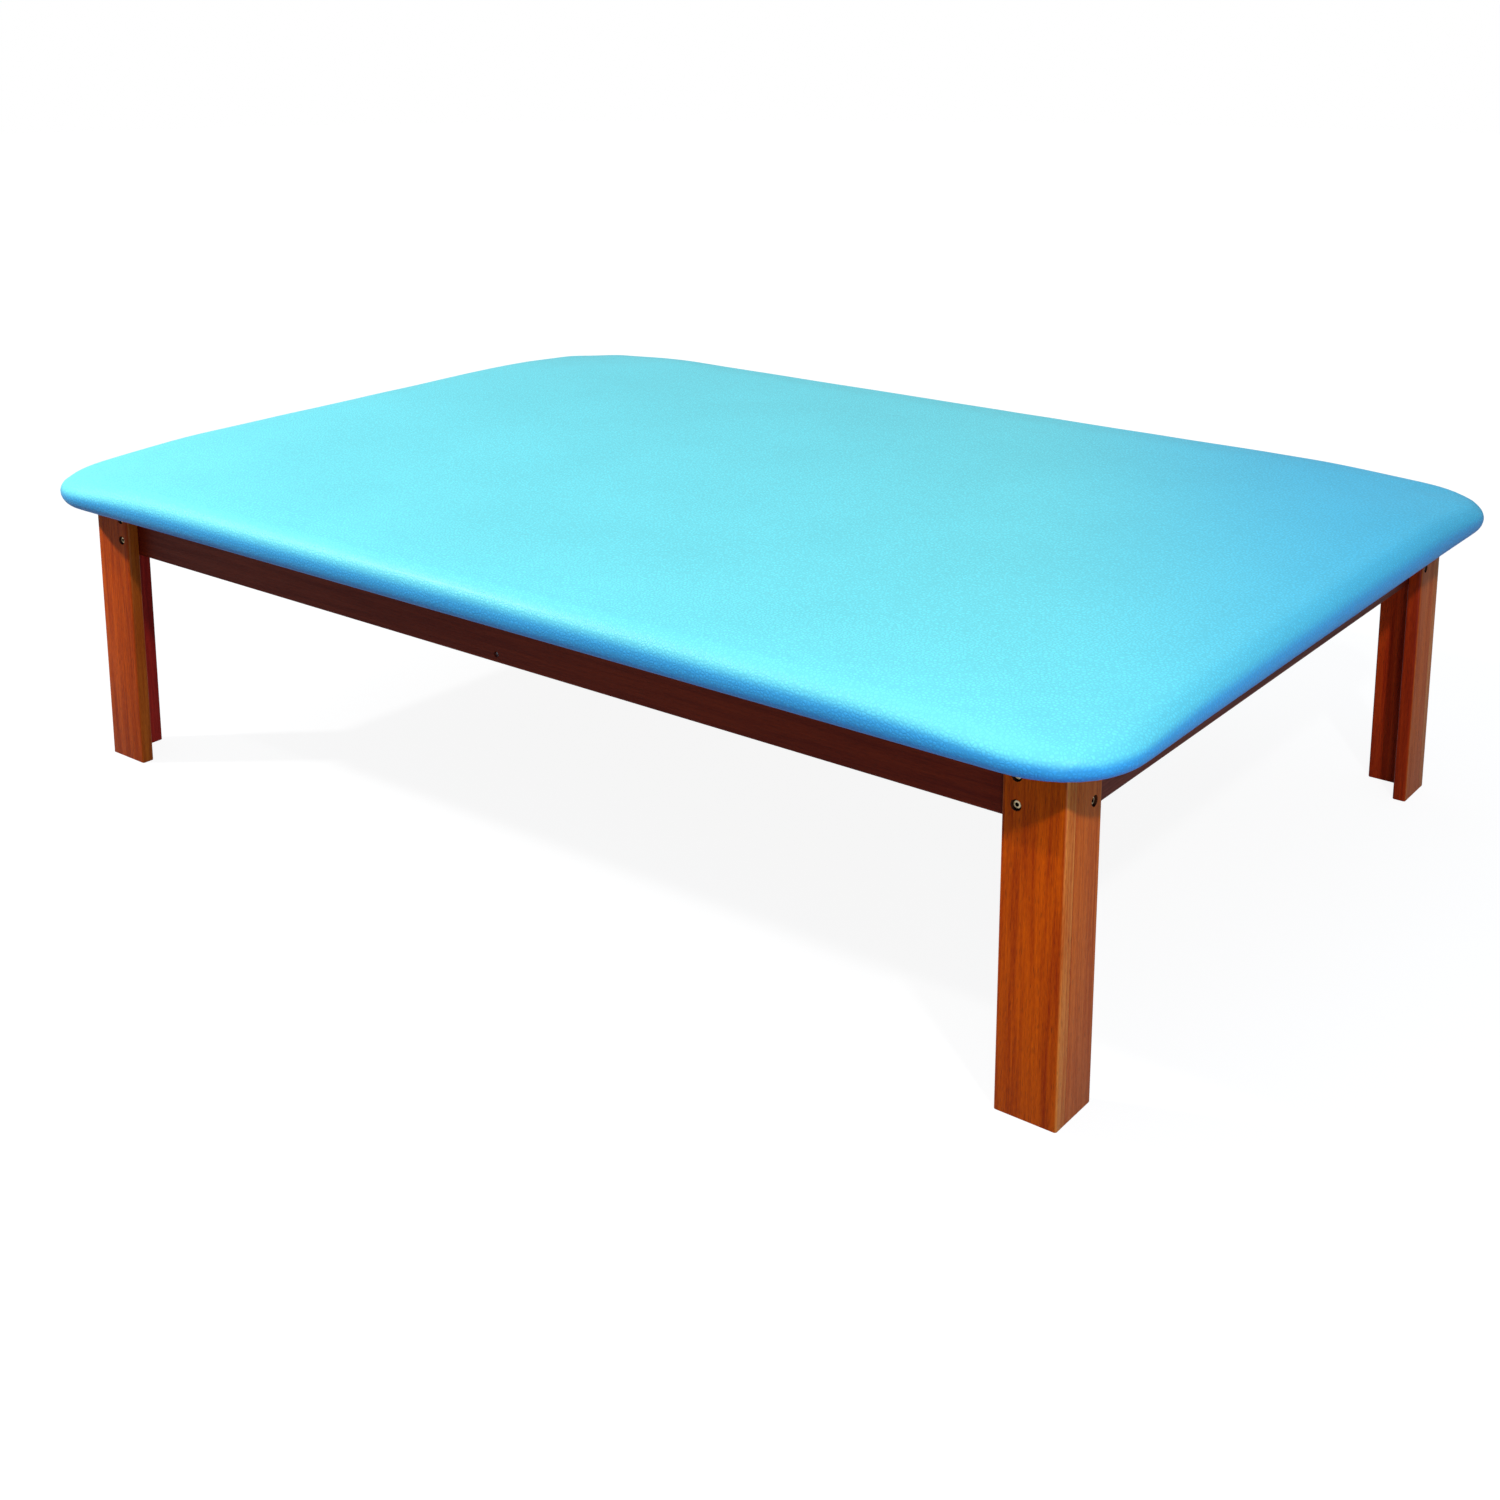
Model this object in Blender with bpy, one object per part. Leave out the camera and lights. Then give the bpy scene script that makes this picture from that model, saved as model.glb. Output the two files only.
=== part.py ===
"""A padded therapy table on a fixed timber frame.

A plywood panel carries a foam pad that laps over its edge, and a vinyl cover is drawn over the foam
and turned under the panel. Four aprons and a cross rail make the frame. Each leg is two boards
glued into an L, bolted over the outside of the apron corner with cap screws sunk in counterbores.

Units are metres. +X runs along the table, +Y across it and +Z up, and the origin is on the floor
under the middle of the top.
"""

import math
from dataclasses import dataclass

import bmesh
import bpy
from mathutils import Matrix, Vector

# The padded top
PAD_LENGTH = 2.000
PAD_WIDTH = 1.400
PAD_CORNER_RADIUS = 0.105
SIDE_DRAW_IN = 0.003
FOAM_THICKNESS = 0.045
CROWN_HEIGHT = 0.005
TOP_ROLL_WIDTH = 0.085
BASE_ROLL_RADIUS = 0.024
FOAM_LIP = 0.002
PANEL_THICKNESS = 0.018
VINYL_THICKNESS = 0.0012
HEM_TO_FRAME = 0.012

# The roll's superellipse exponent: 2 is an ellipse, 1 a straight slope.
TOP_ROLL_EXPONENT = 1.4
CORNER_SHRINK_SHARE = 0.5
CROWN_RING_SHARES = (0.78, 0.5, 0.22)

# The frame
TOP_OVERHANG = 0.075
LEG_HEIGHT = 0.458
LEG_BOARD_WIDTH = 0.085
LEG_BOARD_THICKNESS = 0.021
APRON_HEIGHT = 0.092
APRON_THICKNESS = 0.021
RAIL_HEIGHT = 0.092
RAIL_THICKNESS = 0.021
BOARD_EDGE_ROUND = 0.0025

# Leg bolts: M6 socket cap screws, each with a flange nut inside the apron
BOLT_EDGE_INSET = 0.019
BOLT_SPACING = 0.036
BOLT_LENGTH = 0.045
BOLT_RADIUS = 0.003
BOLT_HEAD_RADIUS = 0.005
BOLT_HEAD_HEIGHT = 0.006
BOLT_HEAD_CHAMFER = 0.0006
HEX_SOCKET_WIDTH = 0.005
HEX_SOCKET_DEPTH = 0.003
COUNTERBORE_RADIUS = 0.0068
COUNTERBORE_DEPTH = 0.009
NUT_FLANGE_RADIUS = 0.0068
NUT_FLANGE_THICKNESS = 0.0014
NUT_WIDTH = 0.010
NUT_HEIGHT = 0.006

# Countersunk screws through the long aprons into the ends of the cross rail
RAIL_SCREW_LENGTH = 0.055
RAIL_SCREW_SINK = 0.004
RAIL_SCREW_EDGE_INSET = 0.0125
RAIL_SCREW_RADIUS = 0.00225
RAIL_SCREW_HEAD_RADIUS = 0.0043
RAIL_SCREW_HEAD_HEIGHT = 0.0027
RAIL_SCREW_POINT = 0.005

# Steel angle brackets that hold the panel down, with a hole for a screw in each leaf
LONG_APRON_BRACKETS = 2
LONG_APRON_BRACKET_SPACING = 0.900
BRACKET_LEAF = 0.040
BRACKET_WIDTH = 0.018
BRACKET_THICKNESS = 0.002
BRACKET_BEND_RADIUS = 0.0015
BRACKET_HOLE_DISTANCE = 0.027
BRACKET_HOLE_RADIUS = 0.0022
BRACKET_HOLE_DEPTH = 0.015

# Fits, and how far a cut runs past the face that it opens
FIT_GAP = 0.0003
CUT_OVERRUN = 0.002
MERGE_DISTANCE = 0.00001

# How finely curves are divided
CORNER_STEPS = 6
LONG_SIDE_STEPS = 6
SHORT_SIDE_STEPS = 4
BASE_ROLL_STEPS = 3
TOP_ROLL_STEPS = 6
HEX_SIDES = 6
ROUND_SIDES = 2 * HEX_SIDES
SMALL_ROUND_SIDES = 8
BOARD_EDGE_SEGMENTS = 2
BEND_SEGMENTS = 2
ROUND_PROFILE = 0.5
SMOOTH_ANGLE = math.radians(32)

# Places worked out from the sizes above
FRAME_HALF_X = PAD_LENGTH / 2 - TOP_OVERHANG
FRAME_HALF_Y = PAD_WIDTH / 2 - TOP_OVERHANG
APRON_OUTER_X = FRAME_HALF_X - LEG_BOARD_THICKNESS - FIT_GAP
APRON_OUTER_Y = FRAME_HALF_Y - LEG_BOARD_THICKNESS - FIT_GAP
APRON_INNER_X = APRON_OUTER_X - APRON_THICKNESS
APRON_INNER_Y = APRON_OUTER_Y - APRON_THICKNESS
APRON_BOTTOM = LEG_HEIGHT - APRON_HEIGHT
PANEL_BOTTOM = LEG_HEIGHT + FIT_GAP
PANEL_TOP = PANEL_BOTTOM + PANEL_THICKNESS
PANEL_INSET = BASE_ROLL_RADIUS + FOAM_LIP
FOAM_INSET = VINYL_THICKNESS + FIT_GAP
PAD_BASE = PANEL_BOTTOM - FOAM_INSET
PAD_TOP = PANEL_TOP + FIT_GAP + FOAM_THICKNESS + FOAM_INSET

QUARTER_TURN = math.pi / 2
FULL_TURN = 2 * math.pi
DOWN = Vector((0, 0, -1))
UP = Vector((0, 0, 1))


@dataclass
class Finish:
    """Colour (linear), roughness and metallic value of one material."""

    name: str
    colour: tuple
    roughness: float
    metallic: float = 0.0


VINYL = Finish("turquoise_vinyl", (0.10, 0.56, 0.80, 1), 0.38)
FOAM = Finish("upholstery_foam", (0.80, 0.72, 0.47, 1), 0.95)
PLYWOOD = Finish("birch_plywood", (0.58, 0.42, 0.26, 1), 0.70)
HARDWOOD = Finish("stained_hardwood", (0.34, 0.08, 0.02, 1), 0.45)
BOLT_STEEL = Finish("nickel_plated_steel", (0.62, 0.56, 0.45, 1), 0.32, 1.0)
ZINC_STEEL = Finish("zinc_plated_steel", (0.55, 0.56, 0.58, 1), 0.40, 1.0)


def clear_scene():
    """Remove every object of the open scene."""
    for item in list(bpy.data.objects):
        bpy.data.objects.remove(item, do_unlink=True)


def material(finish):
    """The material of one finish, made on its first use."""
    found = bpy.data.materials.get(finish.name)
    if found:
        return found
    made = bpy.data.materials.new(finish.name)
    made.use_nodes = True
    shader = made.node_tree.nodes["Principled BSDF"]
    shader.inputs["Base Color"].default_value = finish.colour
    shader.inputs["Roughness"].default_value = finish.roughness
    shader.inputs["Metallic"].default_value = finish.metallic
    return made


def add_object(name, shape, finish=None):
    """Put a bmesh in the scene as an object. One with no finish is a cutter, hidden from the render."""
    bmesh.ops.recalc_face_normals(shape, faces=shape.faces)
    mesh = bpy.data.meshes.new(name)
    shape.to_mesh(mesh)
    shape.free()
    mesh.shade_smooth()
    mesh.set_sharp_from_angle(angle=SMOOTH_ANGLE)
    item = bpy.data.objects.new(name, mesh)
    bpy.context.scene.collection.objects.link(item)
    if finish:
        mesh.materials.append(material(finish))
    else:
        item.hide_render = True
        item.display_type = "WIRE"
    return item


def cut(item, *cutters):
    """Cut an object with the given cutters, one Boolean modifier each."""
    for cutter in cutters:
        step = item.modifiers.new(cutter.name, "BOOLEAN")
        step.operation = "DIFFERENCE"
        step.solver = "EXACT"
        step.object = cutter


def placed(point, direction):
    """A frame at point whose +Z looks along direction."""
    return Matrix.Translation(point) @ direction.to_track_quat("Z", "Y").to_matrix().to_4x4()


def turned(shape, profile, sides, place):
    """Turn a profile of (radius, height) points round the place's +Z."""
    corners = [shape.verts.new(place @ Vector((radius, 0, height))) for radius, height in profile]
    edges = [shape.edges.new(pair) for pair in zip(corners[:-1], corners[1:])]
    bmesh.ops.spin(
        shape,
        geom=corners + edges,
        cent=place.translation,
        axis=place.to_3x3() @ UP,
        angle=FULL_TURN,
        steps=sides,
        use_merge=True,
    )
    bmesh.ops.remove_doubles(shape, verts=shape.verts, dist=MERGE_DISTANCE)


def mirrored_span(side, low, high):
    """The stretch from low to high on the given side of zero, lowest value first."""
    return tuple(sorted((side * low, side * high)))


def board(name, span_x, span_y, span_z, grain_axis, stays_sharp=None, finish=HARDWOOD):
    """A board between two values on each axis, with the edges along its grain eased.

    stays_sharp takes the middle of an edge and says whether that edge isn't eased.
    """
    spans = (span_x, span_y, span_z)
    centre = Vector([(low + high) / 2 for low, high in spans])
    size = Vector([high - low for low, high in spans])
    shape = bmesh.new()
    bmesh.ops.create_cube(shape, size=1, matrix=Matrix.Translation(centre) @ Matrix.Diagonal(size).to_4x4())
    eased = []
    for edge in shape.edges:
        start, end = (corner.co for corner in edge.verts)
        along = (end - start).normalized()
        middle = (start + end) / 2
        if abs(along[grain_axis]) > math.cos(SMOOTH_ANGLE) and not (stays_sharp and stays_sharp(middle)):
            eased.append(edge)
    bmesh.ops.bevel(
        shape,
        geom=eased,
        offset=BOARD_EDGE_ROUND,
        offset_type="OFFSET",
        segments=BOARD_EDGE_SEGMENTS,
        profile=ROUND_PROFILE,
        affect="EDGES",
        material=-1,
    )
    return add_object(name, shape, finish)


def outline(inset, height, draw_share, corner_radius=None):
    """One ring of the pad's rounded rectangle, moved in by inset.

    Its sides draw in between the corners, by draw_share of the full draw-in at their middle.
    Its corners tighten as it moves in, unless they are given a radius.
    """
    half_x = PAD_LENGTH / 2 - inset
    half_y = PAD_WIDTH / 2 - inset
    radius = corner_radius or PAD_CORNER_RADIUS - inset * CORNER_SHRINK_SHARE
    corners = ((1, 1, 0), (-1, 1, 1), (-1, -1, 2), (1, -1, 3))
    ring = []
    for side_x, side_y, quarter in corners:
        centre = Vector((side_x * (half_x - radius), side_y * (half_y - radius), height))
        for step in range(CORNER_STEPS + 1):
            turn = QUARTER_TURN * (quarter + step / CORNER_STEPS)
            ring.append(centre + radius * Vector((math.cos(turn), math.sin(turn), 0)))
        along_x = quarter % 2 == 0
        steps = LONG_SIDE_STEPS if along_x else SHORT_SIDE_STEPS
        half_run = (half_x if along_x else half_y) - radius
        outward = Vector((math.cos(turn), math.sin(turn), 0))
        forward = Vector((-math.sin(turn), math.cos(turn), 0))
        start = ring[-1].copy()
        for step in range(1, steps):
            share = 2 * step / steps - 1
            draw = SIDE_DRAW_IN * draw_share * (1 - share * share)
            ring.append(start + forward * half_run * (share + 1) - outward * draw)
    return ring


def pad_rings(offset):
    """The pad's outer rings from the base roll up over the crown, moved inwards by offset."""
    rings = []
    roll_centre = PAD_BASE + BASE_ROLL_RADIUS
    base_radius = BASE_ROLL_RADIUS - offset
    for step in range(BASE_ROLL_STEPS + 1):
        turn = QUARTER_TURN * step / BASE_ROLL_STEPS
        inset = BASE_ROLL_RADIUS - base_radius * math.sin(turn)
        rings.append(outline(inset, roll_centre - base_radius * math.cos(turn), math.sin(turn)))
    roll_height = PAD_TOP - CROWN_HEIGHT - roll_centre
    power = 2 / TOP_ROLL_EXPONENT
    for step in range(1, TOP_ROLL_STEPS + 1):
        turn = QUARTER_TURN * step / TOP_ROLL_STEPS
        cosine, sine = max(math.cos(turn), 0), math.sin(turn)
        slope = Vector((cosine ** (2 - power) / TOP_ROLL_WIDTH, sine ** (2 - power) / roll_height))
        slope.normalize()
        inset = TOP_ROLL_WIDTH * (1 - cosine**power) + offset * slope.x
        height = roll_centre + roll_height * sine**power - offset * slope.y
        rings.append(outline(inset, height, 1))
    smallest = CROWN_RING_SHARES[-1]
    for share in CROWN_RING_SHARES:
        fall = CROWN_HEIGHT * ((share - smallest) / (1 - smallest)) ** 2
        height = PAD_TOP - offset - fall
        rings.append([Vector((p.x * share, p.y * share, height)) for p in outline(TOP_ROLL_WIDTH, height, 1)])
    return rings


def close(shape, one, other):
    """Join two loops of as many points with a band of faces."""
    for index in range(len(one)):
        after = (index + 1) % len(one)
        shape.faces.new((one[index], one[after], other[after], other[index]))


def skin(shape, rings):
    """Lay a skin through rings of as many points each, open at both ends. Returns the loops of its points."""
    loops = [[shape.verts.new(point) for point in ring] for ring in rings]
    for lower, upper in zip(loops[:-1], loops[1:]):
        close(shape, lower, upper)
    return loops


def lofted(name, rings, finish):
    """A closed solid through rings of as many points each, capped at both ends."""
    shape = bmesh.new()
    loops = skin(shape, rings)
    shape.faces.new(loops[0])
    shape.faces.new(loops[-1])
    return add_object(name, shape, finish)


def build_panel():
    """The plywood panel that rests on the frame."""
    rings = [outline(PANEL_INSET, height, 0) for height in (PANEL_BOTTOM, PANEL_TOP)]
    return lofted("top_panel", rings, PLYWOOD)


def build_foam():
    """The foam pad, rebated so that it sits on the panel and laps over its edge."""
    rebate_inset = PANEL_INSET - FIT_GAP
    rebate = [outline(rebate_inset, height, 0) for height in (PANEL_TOP + FIT_GAP, PANEL_BOTTOM)]
    return lofted("foam_pad", rebate + pad_rings(FOAM_INSET), FOAM)


def build_cover():
    """The vinyl cover: one skin over the foam, turned under the panel as a hem that stops short of the frame.

    The hem's inner corner stays tight enough to pass outside the corner of the leg.
    """
    hem_inset = TOP_OVERHANG - HEM_TO_FRAME
    hem_corner = 2 * HEM_TO_FRAME
    inner = [outline(hem_inset, PAD_BASE + VINYL_THICKNESS, 0, hem_corner)] + pad_rings(VINYL_THICKNESS)
    outer = [outline(hem_inset, PAD_BASE, 0, hem_corner)] + pad_rings(0)
    return lofted("vinyl_cover", inner[::-1] + outer, VINYL)


@dataclass
class Corner:
    """One corner of the frame, named by the ends of the table that it lies between."""

    across: str
    along: str
    side_x: int
    side_y: int

    @property
    def leg(self):
        """The name of the corner's leg."""
        return f"{self.across}_{self.along}_leg"

    def point(self, x, y, z):
        """A point of the +X +Y quadrant, carried over to this corner."""
        return Vector((self.side_x * x, self.side_y * y, z))

    def bolt_frames(self):
        """A name and a frame for each bolt: at the leg's outer face, with +Z looking out of it."""
        inward = LEG_BOARD_WIDTH - BOLT_EDGE_INSET
        middle = APRON_BOTTOM + APRON_HEIGHT / 2
        frames = {}
        for level, height in (("lower", middle - BOLT_SPACING / 2), ("upper", middle + BOLT_SPACING / 2)):
            on_face = self.point(FRAME_HALF_X - inward, FRAME_HALF_Y, height)
            on_side = self.point(FRAME_HALF_X, FRAME_HALF_Y - inward, height)
            frames[f"{self.leg}_{self.across}_{level}"] = placed(on_face, Vector((0, self.side_y, 0)))
            frames[f"{self.leg}_side_{level}"] = placed(on_side, Vector((self.side_x, 0, 0)))
        return frames


CORNERS = (
    Corner("front", "left", -1, -1),
    Corner("front", "right", 1, -1),
    Corner("rear", "left", -1, 1),
    Corner("rear", "right", 1, 1),
)


def build_leg_boards(corner):
    """The leg's face board, which laps over the edge of its side board, and the side board."""
    face_x = mirrored_span(corner.side_x, FRAME_HALF_X - LEG_BOARD_WIDTH, FRAME_HALF_X)
    face_y = mirrored_span(corner.side_y, FRAME_HALF_Y - LEG_BOARD_THICKNESS, FRAME_HALF_Y)
    side_x = mirrored_span(corner.side_x, FRAME_HALF_X - LEG_BOARD_THICKNESS, FRAME_HALF_X)
    joint_y = FRAME_HALF_Y - LEG_BOARD_THICKNESS - FIT_GAP
    side_y = mirrored_span(corner.side_y, FRAME_HALF_Y - LEG_BOARD_WIDTH, joint_y)
    height = (0, LEG_HEIGHT)
    face_middle_y = FRAME_HALF_Y - LEG_BOARD_THICKNESS / 2
    side_middle_y = FRAME_HALF_Y - (LEG_BOARD_THICKNESS + LEG_BOARD_WIDTH) / 2

    def at_lap(middle):
        return abs(middle.x) > FRAME_HALF_X - LEG_BOARD_THICKNESS and abs(middle.y) < face_middle_y

    def at_joint(middle):
        return abs(middle.y) > side_middle_y

    face = board(f"{corner.leg}_{corner.across}_board", face_x, face_y, height, 2, at_lap)
    side = board(f"{corner.leg}_side_board", side_x, side_y, height, 2, at_joint)
    return face, side


def cap_screw_profile():
    """A socket cap screw seated in its counterbore."""
    seat = FIT_GAP - COUNTERBORE_DEPTH
    head_top = seat + BOLT_HEAD_HEIGHT
    return [
        (0, head_top),
        (BOLT_HEAD_RADIUS - BOLT_HEAD_CHAMFER, head_top),
        (BOLT_HEAD_RADIUS, head_top - BOLT_HEAD_CHAMFER),
        (BOLT_HEAD_RADIUS, seat),
        (BOLT_RADIUS, seat),
        (BOLT_RADIUS, seat - BOLT_LENGTH),
        (0, seat - BOLT_LENGTH),
    ]


def hex_socket_profile():
    """The six-sided cutter of a cap screw's socket."""
    across_corners = HEX_SOCKET_WIDTH / math.cos(math.pi / HEX_SIDES) / 2
    head_top = FIT_GAP - COUNTERBORE_DEPTH + BOLT_HEAD_HEIGHT
    floor = head_top - HEX_SOCKET_DEPTH
    return [(0, head_top + CUT_OVERRUN), (across_corners, head_top + CUT_OVERRUN), (across_corners, floor), (0, floor)]


def bolt_hole_profile():
    """A counterbore in the leg board, then a hole through to the apron's inner face."""
    bore = BOLT_RADIUS + FIT_GAP
    depth = LEG_BOARD_THICKNESS + FIT_GAP + APRON_THICKNESS + CUT_OVERRUN
    return [
        (0, CUT_OVERRUN),
        (COUNTERBORE_RADIUS, CUT_OVERRUN),
        (COUNTERBORE_RADIUS, -COUNTERBORE_DEPTH),
        (bore, -COUNTERBORE_DEPTH),
        (bore, -depth),
        (0, -depth),
    ]


def nut_ring(place, radius, height, flat_share=1):
    """Points round the place's +Z at a height. A flat_share under 1 draws in every other one, to make a hexagon."""
    ring = []
    for index in range(ROUND_SIDES):
        turn = FULL_TURN * index / ROUND_SIDES
        reach = radius * (flat_share if index % 2 else 1)
        ring.append(place @ Vector((reach * math.cos(turn), reach * math.sin(turn), height)))
    return ring


def build_flange_nut(name, place):
    """A hexagon nut on a round flange. The flange's seat is the place's XY plane, and the nut lies below."""
    bore = BOLT_RADIUS + FIT_GAP
    flat_share = math.cos(math.pi / HEX_SIDES)
    across_corners = NUT_WIDTH / flat_share / 2
    rings = [
        nut_ring(place, bore, 0),
        nut_ring(place, NUT_FLANGE_RADIUS, 0),
        nut_ring(place, NUT_FLANGE_RADIUS, -NUT_FLANGE_THICKNESS),
        nut_ring(place, across_corners, -NUT_FLANGE_THICKNESS, flat_share),
        nut_ring(place, across_corners, -NUT_HEIGHT, flat_share),
        nut_ring(place, bore, -NUT_HEIGHT),
    ]
    shape = bmesh.new()
    loops = skin(shape, rings)
    close(shape, loops[-1], loops[0])
    return add_object(name, shape, ZINC_STEEL)


def build_bolts(corner, hex_sockets):
    """The corner's cap screws, and a flange nut on each against the apron's inner face."""
    nut_seat = -(LEG_BOARD_THICKNESS + FIT_GAP + APRON_THICKNESS + FIT_GAP)
    for name, frame in corner.bolt_frames().items():
        bolt = bmesh.new()
        turned(bolt, cap_screw_profile(), ROUND_SIDES, frame)
        cut(add_object(f"{name}_bolt", bolt, BOLT_STEEL), hex_sockets)
        build_flange_nut(f"{name}_nut", frame @ Matrix.Translation((0, 0, nut_seat)))


def build_aprons():
    """The four aprons: the long ones run past the ends of the short ones."""
    height = (APRON_BOTTOM, LEG_HEIGHT)
    full_x = (-APRON_OUTER_X, APRON_OUTER_X)
    between_y = (FIT_GAP - APRON_INNER_Y, APRON_INNER_Y - FIT_GAP)
    long_aprons = [
        board("front_apron", full_x, mirrored_span(-1, APRON_INNER_Y, APRON_OUTER_Y), height, 0),
        board("rear_apron", full_x, mirrored_span(1, APRON_INNER_Y, APRON_OUTER_Y), height, 0),
    ]
    short_aprons = [
        board("left_apron", mirrored_span(-1, APRON_INNER_X, APRON_OUTER_X), between_y, height, 1),
        board("right_apron", mirrored_span(1, APRON_INNER_X, APRON_OUTER_X), between_y, height, 1),
    ]
    return long_aprons, short_aprons


def build_rail():
    """The cross rail between the middles of the long aprons."""
    half = RAIL_THICKNESS / 2
    reach = APRON_INNER_Y - FIT_GAP
    return board("cross_rail", (-half, half), (-reach, reach), (LEG_HEIGHT - RAIL_HEIGHT, LEG_HEIGHT), 1)


def rail_screw_frames():
    """A name and a frame for each rail screw: at the long apron's outer face, looking out of it."""
    levels = {
        "lower": LEG_HEIGHT - RAIL_HEIGHT + RAIL_SCREW_EDGE_INSET,
        "upper": LEG_HEIGHT - RAIL_SCREW_EDGE_INSET,
    }
    return {
        f"cross_rail_{end}_{level}_screw": placed(Vector((0, side * APRON_OUTER_Y, height)), Vector((0, side, 0)))
        for end, side in (("front", -1), ("rear", 1))
        for level, height in levels.items()
    }


def rail_screw_profile():
    """A countersunk wood screw whose head lies sunk under the apron's face."""
    head_base = -RAIL_SCREW_SINK - RAIL_SCREW_HEAD_HEIGHT
    tip = -RAIL_SCREW_SINK - RAIL_SCREW_LENGTH
    return [
        (0, -RAIL_SCREW_SINK),
        (RAIL_SCREW_HEAD_RADIUS, -RAIL_SCREW_SINK),
        (RAIL_SCREW_RADIUS, head_base),
        (RAIL_SCREW_RADIUS, tip + RAIL_SCREW_POINT),
        (0, tip),
    ]


def rail_screw_hole_profile():
    """The rail screw's hole: open to the face above the head, and clear of the screw all round."""
    head = RAIL_SCREW_HEAD_RADIUS + FIT_GAP
    shank = RAIL_SCREW_RADIUS + FIT_GAP
    head_base = -RAIL_SCREW_SINK - RAIL_SCREW_HEAD_HEIGHT - FIT_GAP
    floor = -RAIL_SCREW_SINK - RAIL_SCREW_LENGTH - FIT_GAP
    return [
        (0, CUT_OVERRUN),
        (head, CUT_OVERRUN),
        (head, -RAIL_SCREW_SINK - FIT_GAP),
        (shank, head_base),
        (shank, floor),
        (0, floor),
    ]


@dataclass
class Bracket:
    """One angle bracket, seated on an apron's inner face right under the panel."""

    name: str
    seat: Vector
    inward: Vector

    @property
    def frame(self):
        """Local +X looks away from the apron, +Y along it and +Z up."""
        turn = Matrix((self.inward, UP.cross(self.inward), UP)).transposed().to_4x4()
        return Matrix.Translation(self.seat + self.inward * FIT_GAP) @ turn

    def hole_frames(self):
        """A frame for the hole in each leaf, looking out of the leaf's free face."""
        on_apron = self.frame @ Vector((BRACKET_THICKNESS, 0, -BRACKET_HOLE_DISTANCE))
        on_panel = self.frame @ Vector((BRACKET_HOLE_DISTANCE, 0, -BRACKET_THICKNESS))
        return placed(on_apron, self.inward), placed(on_panel, DOWN)


def brackets():
    """The brackets along the long aprons, and one in the middle of each short apron."""
    found = []
    gaps = LONG_APRON_BRACKETS - 1
    for across, along, side in (("front", "left", -1), ("rear", "right", 1)):
        for index in range(LONG_APRON_BRACKETS):
            place = Vector(((index - gaps / 2) * LONG_APRON_BRACKET_SPACING, side * APRON_INNER_Y, LEG_HEIGHT))
            found.append(Bracket(f"{across}_bracket_{index + 1}", place, Vector((0, -side, 0))))
        place = Vector((side * APRON_INNER_X, 0, LEG_HEIGHT))
        found.append(Bracket(f"{along}_bracket", place, Vector((-side, 0, 0))))
    return found


def build_bracket(bracket, holes):
    """An L of flat steel with a rounded bend: its section, extruded to the bracket's width."""
    frame = bracket.frame
    section = (
        (0, 0),
        (BRACKET_LEAF, 0),
        (BRACKET_LEAF, -BRACKET_THICKNESS),
        (BRACKET_THICKNESS, -BRACKET_THICKNESS),
        (BRACKET_THICKNESS, -BRACKET_LEAF),
        (0, -BRACKET_LEAF),
    )
    shape = bmesh.new()
    corners = [shape.verts.new(frame @ Vector((x, -BRACKET_WIDTH / 2, z))) for x, z in section]
    bends = [corners[index].co.copy() for index in (0, 3)]
    lifted = bmesh.ops.extrude_face_region(shape, geom=[shape.faces.new(corners)])["geom"]
    width = frame.to_3x3() @ Vector((0, BRACKET_WIDTH, 0))
    bmesh.ops.translate(shape, verts=[v for v in lifted if isinstance(v, bmesh.types.BMVert)], vec=width)
    bent = []
    for edge in shape.edges:
        middle = (edge.verts[0].co + edge.verts[1].co) / 2
        if any((bend + width / 2 - middle).length < MERGE_DISTANCE for bend in bends):
            bent.append(edge)
    bmesh.ops.bevel(
        shape,
        geom=bent,
        offset=BRACKET_BEND_RADIUS,
        offset_type="OFFSET",
        segments=BEND_SEGMENTS,
        profile=ROUND_PROFILE,
        affect="EDGES",
        material=-1,
    )
    cut(add_object(bracket.name, shape, ZINC_STEEL), holes)


def bracket_hole_profile():
    """The hole through a bracket's leaf, which goes on as a pilot hole in the wood behind it."""
    return [
        (0, CUT_OVERRUN),
        (BRACKET_HOLE_RADIUS, CUT_OVERRUN),
        (BRACKET_HOLE_RADIUS, -BRACKET_HOLE_DEPTH),
        (0, -BRACKET_HOLE_DEPTH),
    ]


def cutter(name, profile, sides, frames):
    """One hidden object that makes a hole of the same profile at every frame."""
    shape = bmesh.new()
    for frame in frames:
        turned(shape, profile, sides, frame)
    return add_object(name, shape)


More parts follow.
